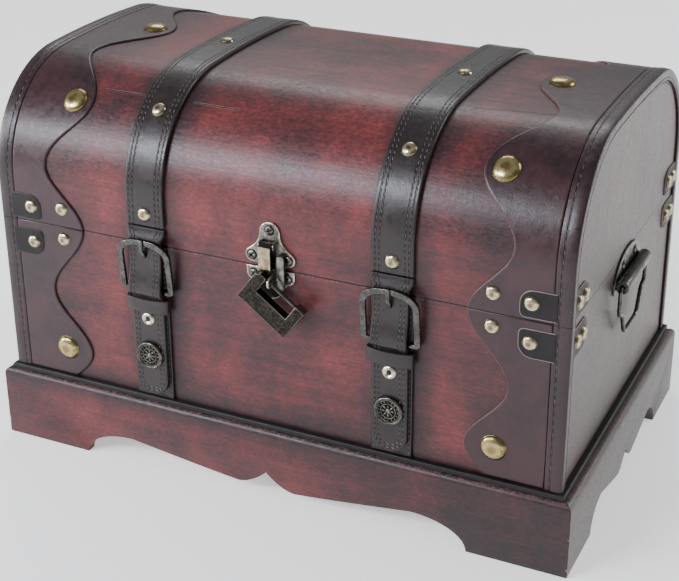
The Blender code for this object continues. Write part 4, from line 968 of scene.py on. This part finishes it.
def make_piping():
    x, y, w = WOOD_X + GAP, WOOD_Y + GAP, 4.2
    low, high = PLINTH_HEIGHT + GAP, LEDGE_TOP - GAP
    section = [(0.0, 0.0), (0.0, high - low)]
    section += [(w - 1.9 + a, high - low - 1.8 + b) for a, b in arc(0, 0, 1.8, 90, 0, 6)]
    section += [(w, 0.3), (w - 0.3, 0.0)]
    bm = bmesh.new()
    rings = []
    for sx, sy in ((-1, -1), (1, -1), (1, 1), (-1, 1)):
        ring = [bm.verts.new((sx * (x + a), sy * (y + a), low + b)) for a, b in section]
        rings.append([bm.edges.new(pair) for pair in zip(ring, ring[1:] + ring[:1])])
    for ring, following in zip(rings, rings[1:] + rings[:1]):
        bmesh.ops.bridge_loops(bm, edges=ring + following)
    dress("ledge_piping", bm, "corner", "box")


def ease(part):
    return (1 - math.cos(math.pi * part)) / 2


def wave(where, stops):
    """The scalloped edge's distance from the middle."""
    for k in range(len(stops) - 1):
        a, b = stops[k], stops[k + 1]
        if min(a, b) <= where <= max(a, b):
            ends = (PATCH_NEAR, PATCH_FAR) if k % 2 == 0 else (PATCH_FAR, PATCH_NEAR)
            return ends[0] + (ends[1] - ends[0]) * ease((where - a) / (b - a))
    return PATCH_NEAR


LID_WAVE = [-32.0, 15.0, 64.0, 121.5, MIDDLE_S]
BOX_WAVE = [SEAM_Z, 129.0, 82.0, 40.0]
PATCH_LIFT = 0.3
PATCH_THICK = 1.2


def make_patch(node, body, side, ends, count, across, rule, cuts=()):
    """A patch between two ends, its scalloped side given by across, and its cut edge: worn colour
    with painted highlight on the right-hand patches, dark as painted shade on the left.
    """
    outline = []
    for k in range(count + 1):
        along = ends[0] + (ends[1] - ends[0]) * k / count
        outline.append((side * across(along), along))
    straight = [(side * PATCH_END, end) for end in reversed(ends)]
    rim = [(a - side * 0.45, b) for a, b in outline] + [(a - side * 3.0, b) for a, b in straight]
    # right-hand rims pale with painted highlight, left-hand ones dark as painted shade
    finish_piece(node + "_cut_edge", bend(hide(rim, 0.75, 0.25), rule, cuts),
                 "worn_edge" if side > 0 else "corner", body)
    dress(node, bend(hide(outline + straight, PATCH_THICK, 0.7), rule, cuts), "patch", body)


def make_patches():
    top = PATCH_LIFT + PATCH_THICK
    start = LID_BOTTOM - SHOULDER_Z
    end = 2 * MIDDLE_S - start
    for name, side in SIDES:
        node = "lid_patch_" + name
        make_patch(node, "lid", side, (start, end), 180,
                   lambda s: wave(min(s, 2 * MIDDLE_S - s), LID_WAVE),
                   on_lid(PATCH_LIFT), steps_between(start, end, 3.4))
        big_x, small_x = side * (PATCH_END - 42.6), side * (PATCH_END - 40.1)
        places = []
        for s in (64.0, MIDDLE_S, 2 * MIDDLE_S - 64.0):
            y, z, ny, nz = lid_point(s, top)
            places.append(((big_x, y, z), (0, ny, nz)))
        nails(node + "_big_nails", places, "lid", True)
        places = [((small_x, sy * (WOOD_Y + top), SEAM_Z + 14.0), (0, sy, 0)) for sy in (-1, 1)]
        nails(node + "_nails", places, "lid")
        for face, sy in FACES:
            node = "box_patch_" + face + "_" + name
            make_patch(node, "box", side, (LEDGE_TOP, BOX_TOP), 60,
                       lambda z: wave(z, BOX_WAVE), on_wall(sy, PATCH_LIFT))
            y, out = sy * (WOOD_Y + top), (0, sy, 0)
            nails(node + "_big_nail", [((side * (PATCH_END - 35.6), y, 83.0), out)], "box", True)
            nails(node + "_nail", [((small_x, y, SEAM_Z - 9.5), out)], "box")


def tab_outline(part, start, end, low, high, inset):
    """A tab with a half-round free end, squarer on the corner beside the seam."""
    r, small = 9.5 - inset, 4.0 - inset
    start, low, high = start + inset, low + inset, high - inset
    if part == "lid":
        points = [(end, low), (end, high)] + arc(start + r, high - r, r, 90.0, 180.0, 10)
        return points + arc(start + small, low + small, small, 180.0, 270.0, 5)
    points = [(end, high)] + arc(start + small, high - small, small, 90.0, 180.0, 5)
    return points + arc(start + r, low + r, r, 180.0, 270.0, 10) + [(end, low)]


def make_corners():
    """Leather tabs at the seam: one in front and one on the end, tucked under the rounded band."""
    for face, sy in FACES:
        for name, side in SIDES:
            def in_front(x, y, h):
                return Vector((side * x, sy * (WOOD_Y + 1.15 + h), y))

            def on_end(x, y, h):
                return Vector((side * (WOOD_X + GAP + h), sy * x, y))

            for part, low, high, nail_z in (
                    ("lid", LID_BOTTOM + 1.6, LID_BOTTOM + 21.0, SEAM_Z + 12.0),
                    ("box", SEAM_Z - 26.5, SEAM_Z - 6.0, SEAM_Z - 15.5)):
                tabs, rims = [], []
                for start, end, rule in ((BAND_X - 35.0, BAND_X - 10.0, in_front),
                                         (BAND_Y - 35.0, BAND_Y - 5.0, on_end)):
                    outline = tab_outline(part, start, end, low, high, 0.45)
                    tabs.append(bend(hide(outline, 1.1, 0.3), rule))
                    outline = tab_outline(part, start, end - 0.5, low, high, 0.0)
                    rims.append(bend(hide(outline, 0.85, 0.2), rule))
                node = part + "_corner_" + face + "_" + name
                dress(node, merge(tabs), "corner", part)
                # right-hand rims pale with painted highlight, left-hand ones dark as painted shade
                finish_piece(node + "_cut_edge", merge(rims), "edge" if side > 0 else "band", part)
                places = [((side * (BAND_X - 27.0), sy * (WOOD_Y + 2.2), nail_z), (0, sy, 0))]
                for back in (14.5, 27.0):
                    places.append(((side * (WOOD_X + 1.4), sy * (BAND_Y - back), nail_z),
                                   (side, 0, 0)))
                nails(node + "_nails", places, part)


# Straps, flaps and buckles
STRAP_START = FOLD_Z + FLAP_THICK / 2 + GAP - SHOULDER_Z
STRAP_END = 2 * MIDDLE_S - (LID_BOTTOM + 7.0 - SHOULDER_Z)


def strap_outline(start, end):
    return [(-STRAP_HALF, start), (STRAP_HALF, start), (STRAP_HALF, end), (-STRAP_HALF, end)]


def make_straps():
    """The straps over the lid, nailed and double-stitched, and the flat ones below on the box."""
    for name, x in STRAP_X.items():
        over, flat = beside(on_lid(GAP), x), beside(on_wall(-1, GAP), x)
        outline = strap_outline(STRAP_START - 12, STRAP_END)
        bm = trim(hide(outline, STRAP_SURFACE, 0.9, (3.0, 6.0), 1.3, 0.45), STRAP_START)
        bend(bm, over, steps_between(STRAP_START, STRAP_END, 3.0))
        dress("lid_strap_" + name, bm, "strap", "lid")
        rows = seams((-12.0, 12.0, -9.0, 9.0), STRAP_START, STRAP_END - 2)
        sew("lid_strap_" + name, rows, (3.1, 0.95, 0.6, 2.75), over, "lid")
        surface = GAP + STRAP_SURFACE
        places = [((x, sy * (WOOD_Y + surface), 204.5), (0, sy, 0)) for sy in (-1, 1)]
        for s in (66.0, MIDDLE_S - 11.0, 2 * MIDDLE_S - 66.0):
            y, z, ny, nz = lid_point(s, surface)
            places.append(((x, y, z), (0, ny, nz)))
        nails("lid_strap_" + name + "_nails", places, "lid")
        bm = hide(strap_outline(LEDGE_TOP, BOX_TOP), 2.0, 0.6, (2.0,), 0.9, 0.3)
        dress("box_strap_" + name, bend(bm, flat), "strap", "box")
        rows = seams((-13.0, 13.0), LEDGE_TOP + 1, BOX_TOP - 1)
        sew("box_strap_" + name, rows, (3.1, 0.95, 0.6, 1.8), flat, "box")


def flap_line():
    """The flap's middle line as (height, distance out), over the buckle's bar and down."""
    head, crest, landing, tip = 183.0, 147.5, 141.8, 64.0
    close, flat, high = 1.8, 4.9, 8.9
    points = []
    for k in range(9):
        points.append((FOLD_Z - (FOLD_Z - head) * k / 8, close + (flat - close) * ease(k / 8)))
    for k in range(1, 15):
        part = k / 14
        points.append((head + (crest - head) * part, flat + (high - flat) * ease(part ** 2)))
    for k in range(1, 7):
        points.append((crest + (landing - crest) * k / 6, high + (flat - high) * ease(k / 6)))
    return points + [(tip, flat)]


FLAP = flap_line()
FLAP_RUNS = [0.0]
for before, after in zip(FLAP, FLAP[1:]):
    FLAP_RUNS.append(FLAP_RUNS[-1] + math.hypot(after[0] - before[0], after[1] - before[1]))


def on_flap(x0):
    """Bending rule for the flap: y is the run down from its fold."""
    last = len(FLAP) - 2

    def way_at(k):
        k = min(max(k, 0), last)
        down, out = FLAP[k + 1][0] - FLAP[k][0], FLAP[k + 1][1] - FLAP[k][1]
        run = math.hypot(down, out)
        return Vector((-down / run, out / run))

    def place(x, y, h):
        k = 0
        while k < last and FLAP_RUNS[k + 1] < y:
            k += 1
        share = (y - FLAP_RUNS[k]) / (FLAP_RUNS[k + 1] - FLAP_RUNS[k])
        z = FLAP[k][0] + (FLAP[k + 1][0] - FLAP[k][0]) * share
        out = FLAP[k][1] + (FLAP[k + 1][1] - FLAP[k][1]) * share
        other = way_at(k - 1) if share < 0.5 else way_at(k + 1)
        near = 0.0 if k == last and share > 0.1 else abs(share - 0.5)
        way = (way_at(k) * (1 - near) + other * near).normalized()
        rise = h - FLAP_THICK / 2
        return Vector((x0 + x, -WOOD_Y - out - rise * way.x, z + rise * way.y))
    return place


def make_flaps():
    """The straps' loose ends, with what they carry: stitches, rivet, loop, button and buckle."""
    total = FLAP_RUNS[-1]
    half, r, shoulder = 13.0, 12.6, 8.5

    def rounded_end(reach, steps):
        right = arc(half - r, total - r, reach, 0.0, 90.0, steps)
        return right + arc(-half + r, total - r, reach, 90.0, 180.0, steps)

    for name, x in STRAP_X.items():
        body = "flap_" + name
        outline = [(-half, shoulder), (-STRAP_HALF, 4.5), (-STRAP_HALF, -12.0),
                   (STRAP_HALF, -12.0), (STRAP_HALF, 4.5), (half, shoulder)]
        outline += rounded_end(r, 12)
        bm = trim(hide(outline, FLAP_THICK, 0.8, (2.6, 5.2), 1.1, 0.38), 0.0)
        bend(bm, on_flap(x), FLAP_RUNS[1:-1])
        hole = cylinder((x, 174.8), "y", 1.9, -WOOD_Y - 12, -WOOD_Y - 2, 20)
        dress("strap_flap_" + name, combine(bm, hole), "strap", body)
        rows = []
        for inset in (2.6, 5.2):
            line = [(STRAP_HALF - inset, 3.5), (half - inset, shoulder)]
            line += rounded_end(r - inset, 8)
            line += [(-half + inset, shoulder), (-STRAP_HALF + inset, 3.5)]
            rows += stitch_row(line, 4.0)
        rows = [row for row in rows if not 58.0 < row[1] < 68.0]
        sew("strap_flap_" + name, rows, (2.9, 0.9, 0.55, 2.4), on_flap(x), body)
        rivet = spun([(0.0, 0.55), (1.7, 0.65), (2.2, 1.35), (3.3, 1.8), (4.3, 1.5), (5.0, 0.7),
                      (5.2, 0.1), (5.2, -0.3), (0.0, -0.3)], 28)
        paint(rivet, 1, lambda face, mid: math.hypot(mid.x, mid.y) < 1.9 and mid.z > 0.0)
        rivet = set_on(rivet, [((x, -WOOD_Y - 6.2, 125.0), (0, -1, 0), 0.0)])
        finish_piece("strap_flap_" + name + "_rivet", rivet, ("pale_pewter", "lock_face"), body)
        make_keeper(name, x, body)
        make_concho(name, x, body)
        make_buckle(name, x, body)


def make_keeper(name, x, body):
    """The leather loop that holds the strap's end: rounded corners and a sagging front."""
    half, low_out, high_out, r = 17.0, 2.6, 8.2, 2.6
    front = high_out - 0.7 - r
    points = [(-half, low_out), (half, low_out)]
    points += arc(half - r, front, r, 0.0, 70.0, 6)
    points += [(half * k / 10, high_out - 0.55 * (k / 8.0) ** 2) for k in range(7, -8, -1)]
    points += arc(-half + r, front, r, 110.0, 180.0, 6)
    ring = prism([(x + a, -WOOD_Y - b) for a, b in points], "z", 131.0, 141.0)
    room = block((x - 13.3, -WOOD_Y - 6.6, 130.0), (x + 13.3, -WOOD_Y - 3.3, 142.0))
    bm = combine(ring, room)
    soften(bm, 0.5, 3, lambda mid, way: abs(way.z) < 0.1 and mid.y < -WOOD_Y - 3.0, 60.0)
    for vert in bm.verts:
        vert.co.z += 1.3 * ((vert.co.x - x) / half) ** 2 - 0.7
    dress("keeper_" + name, bm, "strap", body)


def make_concho(name, x, body):
    """The round button: a raised rim, a ring of dots and a plain eight-part rosette."""
    r = 10.7
    turn = Matrix.Translation((x, -WOOD_Y - 6.5, 96.0)) @ Matrix.Rotation(math.pi / 2, 4, "X")
    rim = spun([(0.0, 1.1), (8.3, 1.1), (8.7, 1.9), (9.2, 2.35), (9.8, 2.3), (10.4, 1.9),
                (r, 1.3), (r, 0.2), (r - 0.3, 0.0), (0.0, 0.0)], 44)
    paint(rim, 1, lambda face, mid: math.hypot(mid.x, mid.y) < 8.4 and mid.z > 1.0)
    bmesh.ops.transform(rim, verts=rim.verts, matrix=turn)
    dress("concho_" + name, rim, ("dark_pewter", "recess"), body, 50)
    parts = [spun([(0.0, 1.9), (1.4, 1.85), (1.9, 1.3), (1.9, 1.0), (0.0, 1.0)], 20)]
    for radius, wide in ((5.4, 0.35), (8.1, 0.3)):
        parts.append(spun([(radius - wide, 1.0), (radius - wide * 0.6, 1.55),
                           (radius + wide * 0.6, 1.55), (radius + wide, 1.0)], 44))
    for count, away, rise, size, turned in ((16, 6.8, 1.15, (0.55, 0.55, 0.55), 0.0),
                                            (8, 3.3, 1.3, (1.25, 0.6, 0.5), 1.0)):
        bead = bmesh.new()
        bmesh.ops.create_icosphere(bead, subdivisions=2, radius=1.0,
                                   matrix=Matrix.Diagonal((*size, 1.0)))
        places = []
        for k in range(count):
            angle = 2 * math.pi * k / count
            point = Vector((away * math.cos(angle), away * math.sin(angle), rise))
            places.append((point, (0, 0, 1), turned * math.degrees(angle)))
        parts.append(set_on(bead, places))
    bm = merge(parts)
    bmesh.ops.transform(bm, verts=bm.verts, matrix=turn)
    finish_piece("concho_" + name + "_relief", bm, "pewter", body, angle=50)


def arch_outline(half, low, high, rise, steps):
    points = [(-half, low)]
    for k in range(steps + 1):
        angle = math.pi - math.pi * k / steps
        c, s = math.cos(angle), math.sin(angle)
        points.append((math.copysign(abs(c) ** 0.84, c) * half,
                       high - rise + rise * abs(s) ** 0.84))
    points.append((half, low))
    return points


def make_buckle(name, x, body):
    """A broad cast D with rounded edges, a roller bar and a tapered prong."""
    t = 1.4
    outer = prism(arch_outline(21.5, 0.0, 42.0, 14.0, 40), "y", -t, t)
    soften(outer, 2.2, 1, lambda mid, way: mid.z < 0.1 and abs(way.y) > 0.9)
    inner = prism(arch_outline(17.0, 3.0, 37.5, 10.5, 36), "y", -t - 1, t + 1)
    bm = combine(outer, inner)
    soften(bm, 1.25, 5, lambda mid, way: abs(way.y) < 0.1, 50.0)
    lean = math.atan2(4.1, 42.0 - 2.25 - 1.5)
    shift(bm, (0, 0, -1.5))
    bmesh.ops.rotate(bm, verts=bm.verts, matrix=Matrix.Rotation(lean, 3, "X"))
    shift(bm, (x, -WOOD_Y - 4.3, 147.1))
    face = 8.4 + t
    line = [(4.9, 172.9), (face - 0.5, 180.5), (face - 0.4, 187.8)]
    back = [(face + 1.4, 187.8), (face + 1.5, 179.5), (face - 2.6, 172.9)]
    prong = prism([(-WOOD_Y - out, z) for out, z in line + back], "x", x - 1.6, x + 1.6)
    soften(prong, 0.7, 3, None, 50.0)
    dress("buckle_" + name, merge([bm, prong]), "dark_pewter", body)


# Hasp and padlock
def trefoil():
    """A round lobe above that sweeps out to two smaller lobes below."""
    side = arc(0.0, 207.6, 7.6, 90.0, 0.0, 14)
    ax, az, bx, bz, cx, cz = 7.6, 207.0, 8.0, 199.0, 17.3, 193.4
    for k in range(1, 10):
        t = k / 10
        side.append(((1 - t) ** 2 * ax + 2 * t * (1 - t) * bx + t * t * cx,
                     (1 - t) ** 2 * az + 2 * t * (1 - t) * bz + t * t * cz))
    side += arc(13.6, 189.6, 5.2, 42.0, -90.0, 12)
    return [(HASP_X + a, b) for a, b in mirrored(side)[:-1] + side]


def lower_shield():
    side = [(18.2, BOX_TOP)]
    side += arc(13.2, BOX_TOP - 5.0, 5.0, 0.0, -90.0, 8)
    side += arc(0.0, 168.0, 9.0, -10.0, -90.0, 12)
    return [(HASP_X + a, b) for a, b in mirrored(side)[1:] + side]


def rimmed(outline, front, back):
    """A plate with a rounded front edge, the field inside it in the second look."""
    bm = prism(outline, "y", front, back)
    soften(bm, 0.55, 3, lambda mid, way: mid.y < front + 0.01)
    return paint(bm, 1, lambda face, mid: face.normal.y < -0.95 and abs(mid.y - front) < 0.02)


def make_hasp():
    """The trefoil plate with its pin and finger, the hinged block, the lower plate, the staple."""
    back, front = -WOOD_Y - GAP, -WOOD_Y - GAP - 1.5
    pin = (-WOOD_Y - 5.2, 199.4)
    pin_y, pin_z = pin
    parts = []
    for side in (-1, 1):
        xs = sorted((HASP_X + side * 4.8, HASP_X + side * 6.0))
        outline = [(front + 0.6, pin_z - 3.0)] + arc(pin_y, pin_z, 3.0, 270.0, 90.0, 14)
        outline += [(front + 0.6, pin_z + 3.0)]
        parts.append(soften(prism(outline, "x", xs[0], xs[1]), 0.25, 2, None, 60.0))
    parts.append(cylinder(pin, "x", 1.0, -0.9, 10.9, 20))
    finger = block((11.9, -WOOD_Y - 7.0, 169.5), (17.9, -WOOD_Y - 4.6, 194.0))
    soften(finger, 1.8, 5, lambda mid, way: abs(way.y) > 0.9)
    soften(finger, 0.5, 2, lambda mid, way: abs(way.y) < 0.5, 60.0)
    foot = block((11.9, -WOOD_Y - 5.8, 187.7), (14.8, -WOOD_Y - 1.05, 192.2))
    parts = [paint(part, 1, lambda face, mid: True) for part in parts + [finger, foot]]
    dress("latch_upper_plate", merge([rimmed(trefoil(), front, back)] + parts),
          ("pale_pewter", "pewter"), "lid")
    places = [((HASP_X + dx, front, z), (0, -1, 0), turn)
              for dx, z, turn in ((0.0, 209.5, 20.0), (-13.6, 189.6, 50.0), (13.6, 189.6, 5.0))]
    screws("latch_upper_plate_screws", places, "lid", 3.1, 1.3)

    face_y, low = -WOOD_Y - 10.6, 183.5
    outline = arc(pin_y, pin_z, 2.6, 0.0, 100.0, 12)
    outline += [(face_y, pin_z + 0.9), (face_y, low + 0.7), (face_y + 0.6, low),
                (pin_y + 2.6, low)]
    tongue = combine(prism(outline, "x", 0.5, 9.5), cylinder(pin, "x", 1.08, -1.0, 11.0, 20))
    soften(tongue, 0.5, 3, lambda mid, way: mid.y < -WOOD_Y - 9.0, 30.0)
    # top and sides painted dark as shade; khaki front face
    paint(tongue, 2, lambda face, mid: face.normal.z > 0.4 or abs(face.normal.x) > 0.95)
    paint(tongue, 1, lambda face, mid: face.normal.y < -0.95)
    dress("latch_tongue", tongue, ("pale_pewter", "khaki_pewter", "dark_pewter"), "tongue")

    lower = rimmed(lower_shield(), front, back)
    # the middle of the field, under the tongue and behind the padlock, takes the dark look as
    # their painted shadow
    for x in (HASP_X - 7.5, HASP_X + 7.5):
        cut(lower, (x, 0.0, 0.0), (1.0, 0.0, 0.0))
    paint(lower, 2, lambda face, mid: abs(mid.x - HASP_X) < 7.4 and face.material_index == 1)
    dress("latch_lower_plate", lower, ("pale_pewter", "pewter", "lock_face"), "box")
    places = [((HASP_X + side * 12.6, front, BOX_TOP - 5.2), (0, -1, 0), 35.0 * side)
              for side in (-1, 1)]
    screws("latch_lower_plate_screws", places, "box", 3.1, 1.3)

    loop, start = 3.36, front - GAP
    path = [(STAPLE.x, start, STAPLE.z + loop)]
    path += [(STAPLE.x, y, z) for y, z in arc(STAPLE.y, STAPLE.z, loop, 90.0, 270.0, 20)]
    path += [(STAPLE.x, start, STAPLE.z - loop)]
    dress("latch_staple", wire(path, 0.8, 3), "pale_pewter", "box")


def wire(points, radius, round_steps):
    """A round wire along a path, with closed ends."""
    curve = bpy.data.curves.new("wire", "CURVE")
    curve.dimensions = "3D"
    curve.bevel_depth = radius
    curve.bevel_resolution = round_steps
    curve.use_fill_caps = True
    line = curve.splines.new("POLY")
    line.points.add(len(points) - 1)
    for place, point in zip(line.points, points):
        place.co = (*point, 1.0)
    item = in_scene("wire", curve)
    bm = shown_mesh(item)
    bpy.data.objects.remove(item, do_unlink=True)
    bpy.data.curves.remove(curve)
    return bm


def lock_place(bm):
    """Moves a piece from the lock's own length and width onto the tilted, hanging lock."""
    turn = Matrix.Rotation(math.radians(36.6), 4, "Y")
    local = Matrix.Translation((-11.6, 0.0, -23.6))
    bmesh.ops.transform(bm, verts=bm.verts, matrix=Matrix.Translation(STAPLE) @ turn @ local)
    return bm


def dark_faces_and_bay_shade(bm, t):
    """Gives the lock's front and back the second look, and the walls of its bay the same dark look
    as painted shade.
    """
    def dark(face, mid):
        flat = abs(face.normal.y) > 0.95 and abs(abs(mid.y) - t) < 0.02
        # bay walls: painted shade
        return flat or (abs(face.normal.y) < 0.05 and 4.5 < mid.x < 36.0 and mid.z > 12.0)
    return paint(bm, 1, dark)


def on_line(place, outline):
    """True for a point on the outline itself."""
    for (ax, az), (bx, bz) in zip(outline, outline[1:] + outline[:1]):
        run = math.hypot(bx - ax, bz - az)
        if abs((place.x - ax) * (bz - az) - (place.z - az) * (bx - ax)) / run < 0.02:
            return True
    return False


def make_padlock():
    """The lock's body with its square bay, and the end block that carries the bar and the rod."""
    t, long, high = 3.5, 43.0, 26.0
    rod, bar = (0.0, 6.4), (0.0, 23.6)
    outline = [(4.3, 0.0), (long, 0.0), (long, high), (35.5, high), (35.5, 12.9), (4.3, 12.9)]
    body = prism(outline, "y", -t, t)
    soften(body, 0.4, 3, lambda mid, way: (
        mid.x > 4.4 and abs(abs(mid.y) - t) < 0.02 and on_line(mid, outline)), 60.0)
    dark_faces_and_bay_shade(body, t)
    body = combine(body, merge([cylinder(rod, "x", 2.15, 3.3, 38.0, 24),
                                cylinder(bar, "x", 1.62, 34.5, 40.0, 24)]))
    dress("padlock_body", lock_place(body), ("pewter", "lock_face"), "padlock")
    block_line = [(0.0, 0.0), (4.0, 0.0), (4.0, 13.2), (8.4, 13.2), (8.4, high), (3.0, high),
                  (0.0, high - 3.0)]
    slider = prism(block_line, "y", -t, t)
    soften(slider, 0.3, 3, lambda mid, way: (
        not (mid.x > 3.9 and mid.z < 13.3) and abs(abs(mid.y) - t) < 0.02
        and on_line(mid, block_line)), 35.0)
    dark_faces_and_bay_shade(slider, t)
    rounds = [soften(cylinder(bar, "x", 1.5, 6.4, 39.5, 24), 0.3, 2, None, 60.0),
              cylinder(rod, "x", 2.0, 2.0, 37.0, 24)]
    rounds = [paint(part, 2, lambda face, mid: True) for part in rounds]
    dress("padlock_slider", lock_place(merge([slider] + rounds)),
          ("pewter", "lock_face", "dark_pewter"), "padlock_slider")


# Hinges and handles
def make_hinges():
    for name, side in SIDES:
        for part, sz in (("box", -1), ("lid", 1)):
            node = "hinge_" + part + "_leaf_" + name
            dress(node, copy_node(node), "brass", part)
            places = [((side * HINGE_X + dx, WOOD_Y + 1.7, SEAM_Z + sz * 12.0), (0, 1, 0), 60.0)
                      for dx in (-10.5, 10.5)]
            screws(node + "_screws", places, part, 3.2, 1.45, "brass", False)


def make_handles():
    """A half-oval plate with a rolled barrel on each end, and the wire handle that hangs in it."""
    inner, outer = WOOD_X + GAP, WOOD_X + GAP + 1.3
    for name, side in SIDES:
        half, flat, rise = 33.0, 159.0, 19.0
        outline = [(half, flat)]
        for k in range(37):
            angle = math.pi * k / 36
            outline.append((half * math.cos(angle), HANDLE_Z + rise * math.sin(angle)))
        xs = sorted((side * inner, side * outer))
        plate = prism(outline + [(-half, flat)], "x", xs[0], xs[1])
        soften(plate, 0.45, 3, lambda mid, way: abs(mid.x) > outer - 0.01)
        pin = (side * (WOOD_X + 5.8), HANDLE_Z)
        barrel = combine(cylinder(pin, "y", 4.8, -30.0, 30.0, 36),
                         cylinder(pin, "y", 1.7, -31.0, 31.0, 24))
        soften(barrel, 0.5, 3, lambda mid, way: abs(mid.y) > 29.9, 60.0)
        dress("handle_plate_" + name, merge([plate, barrel]), "dark_pewter", "box")
        places = [((side * outer, y, HANDLE_Z + 10.0), (side, 0, 0), 25.0) for y in (-15.0, 15.0)]
        screws("handle_plate_" + name + "_screws", places, "box", 3.2, 1.4, "dark_pewter", False)
        low = 125.0
        path = [(-22.0, HANDLE_Z)] + arc(-30.5, HANDLE_Z - 2.5, 2.5, 90.0, 180.0, 8)
        path += [(-33.0, 147.0), (-32.0, 145.2), (-25.5, 142.6), (-23.8, 141.0)]
        path += arc(-12.0, low + 7.0, 7.0, 200.0, 270.0, 10)
        path += mirrored(path)
        dress("handle_bail_" + name, wire([(pin[0], y, z) for y, z in path], 1.5, 5),
              "dark_pewter", "bail_" + name)


make_camera()
make_studio()
make_lid_shell()
make_plinth()
make_bands()
make_piping()
make_patches()
make_corners()
make_straps()
make_flaps()
make_hasp()
make_padlock()
make_hinges()
make_handles()
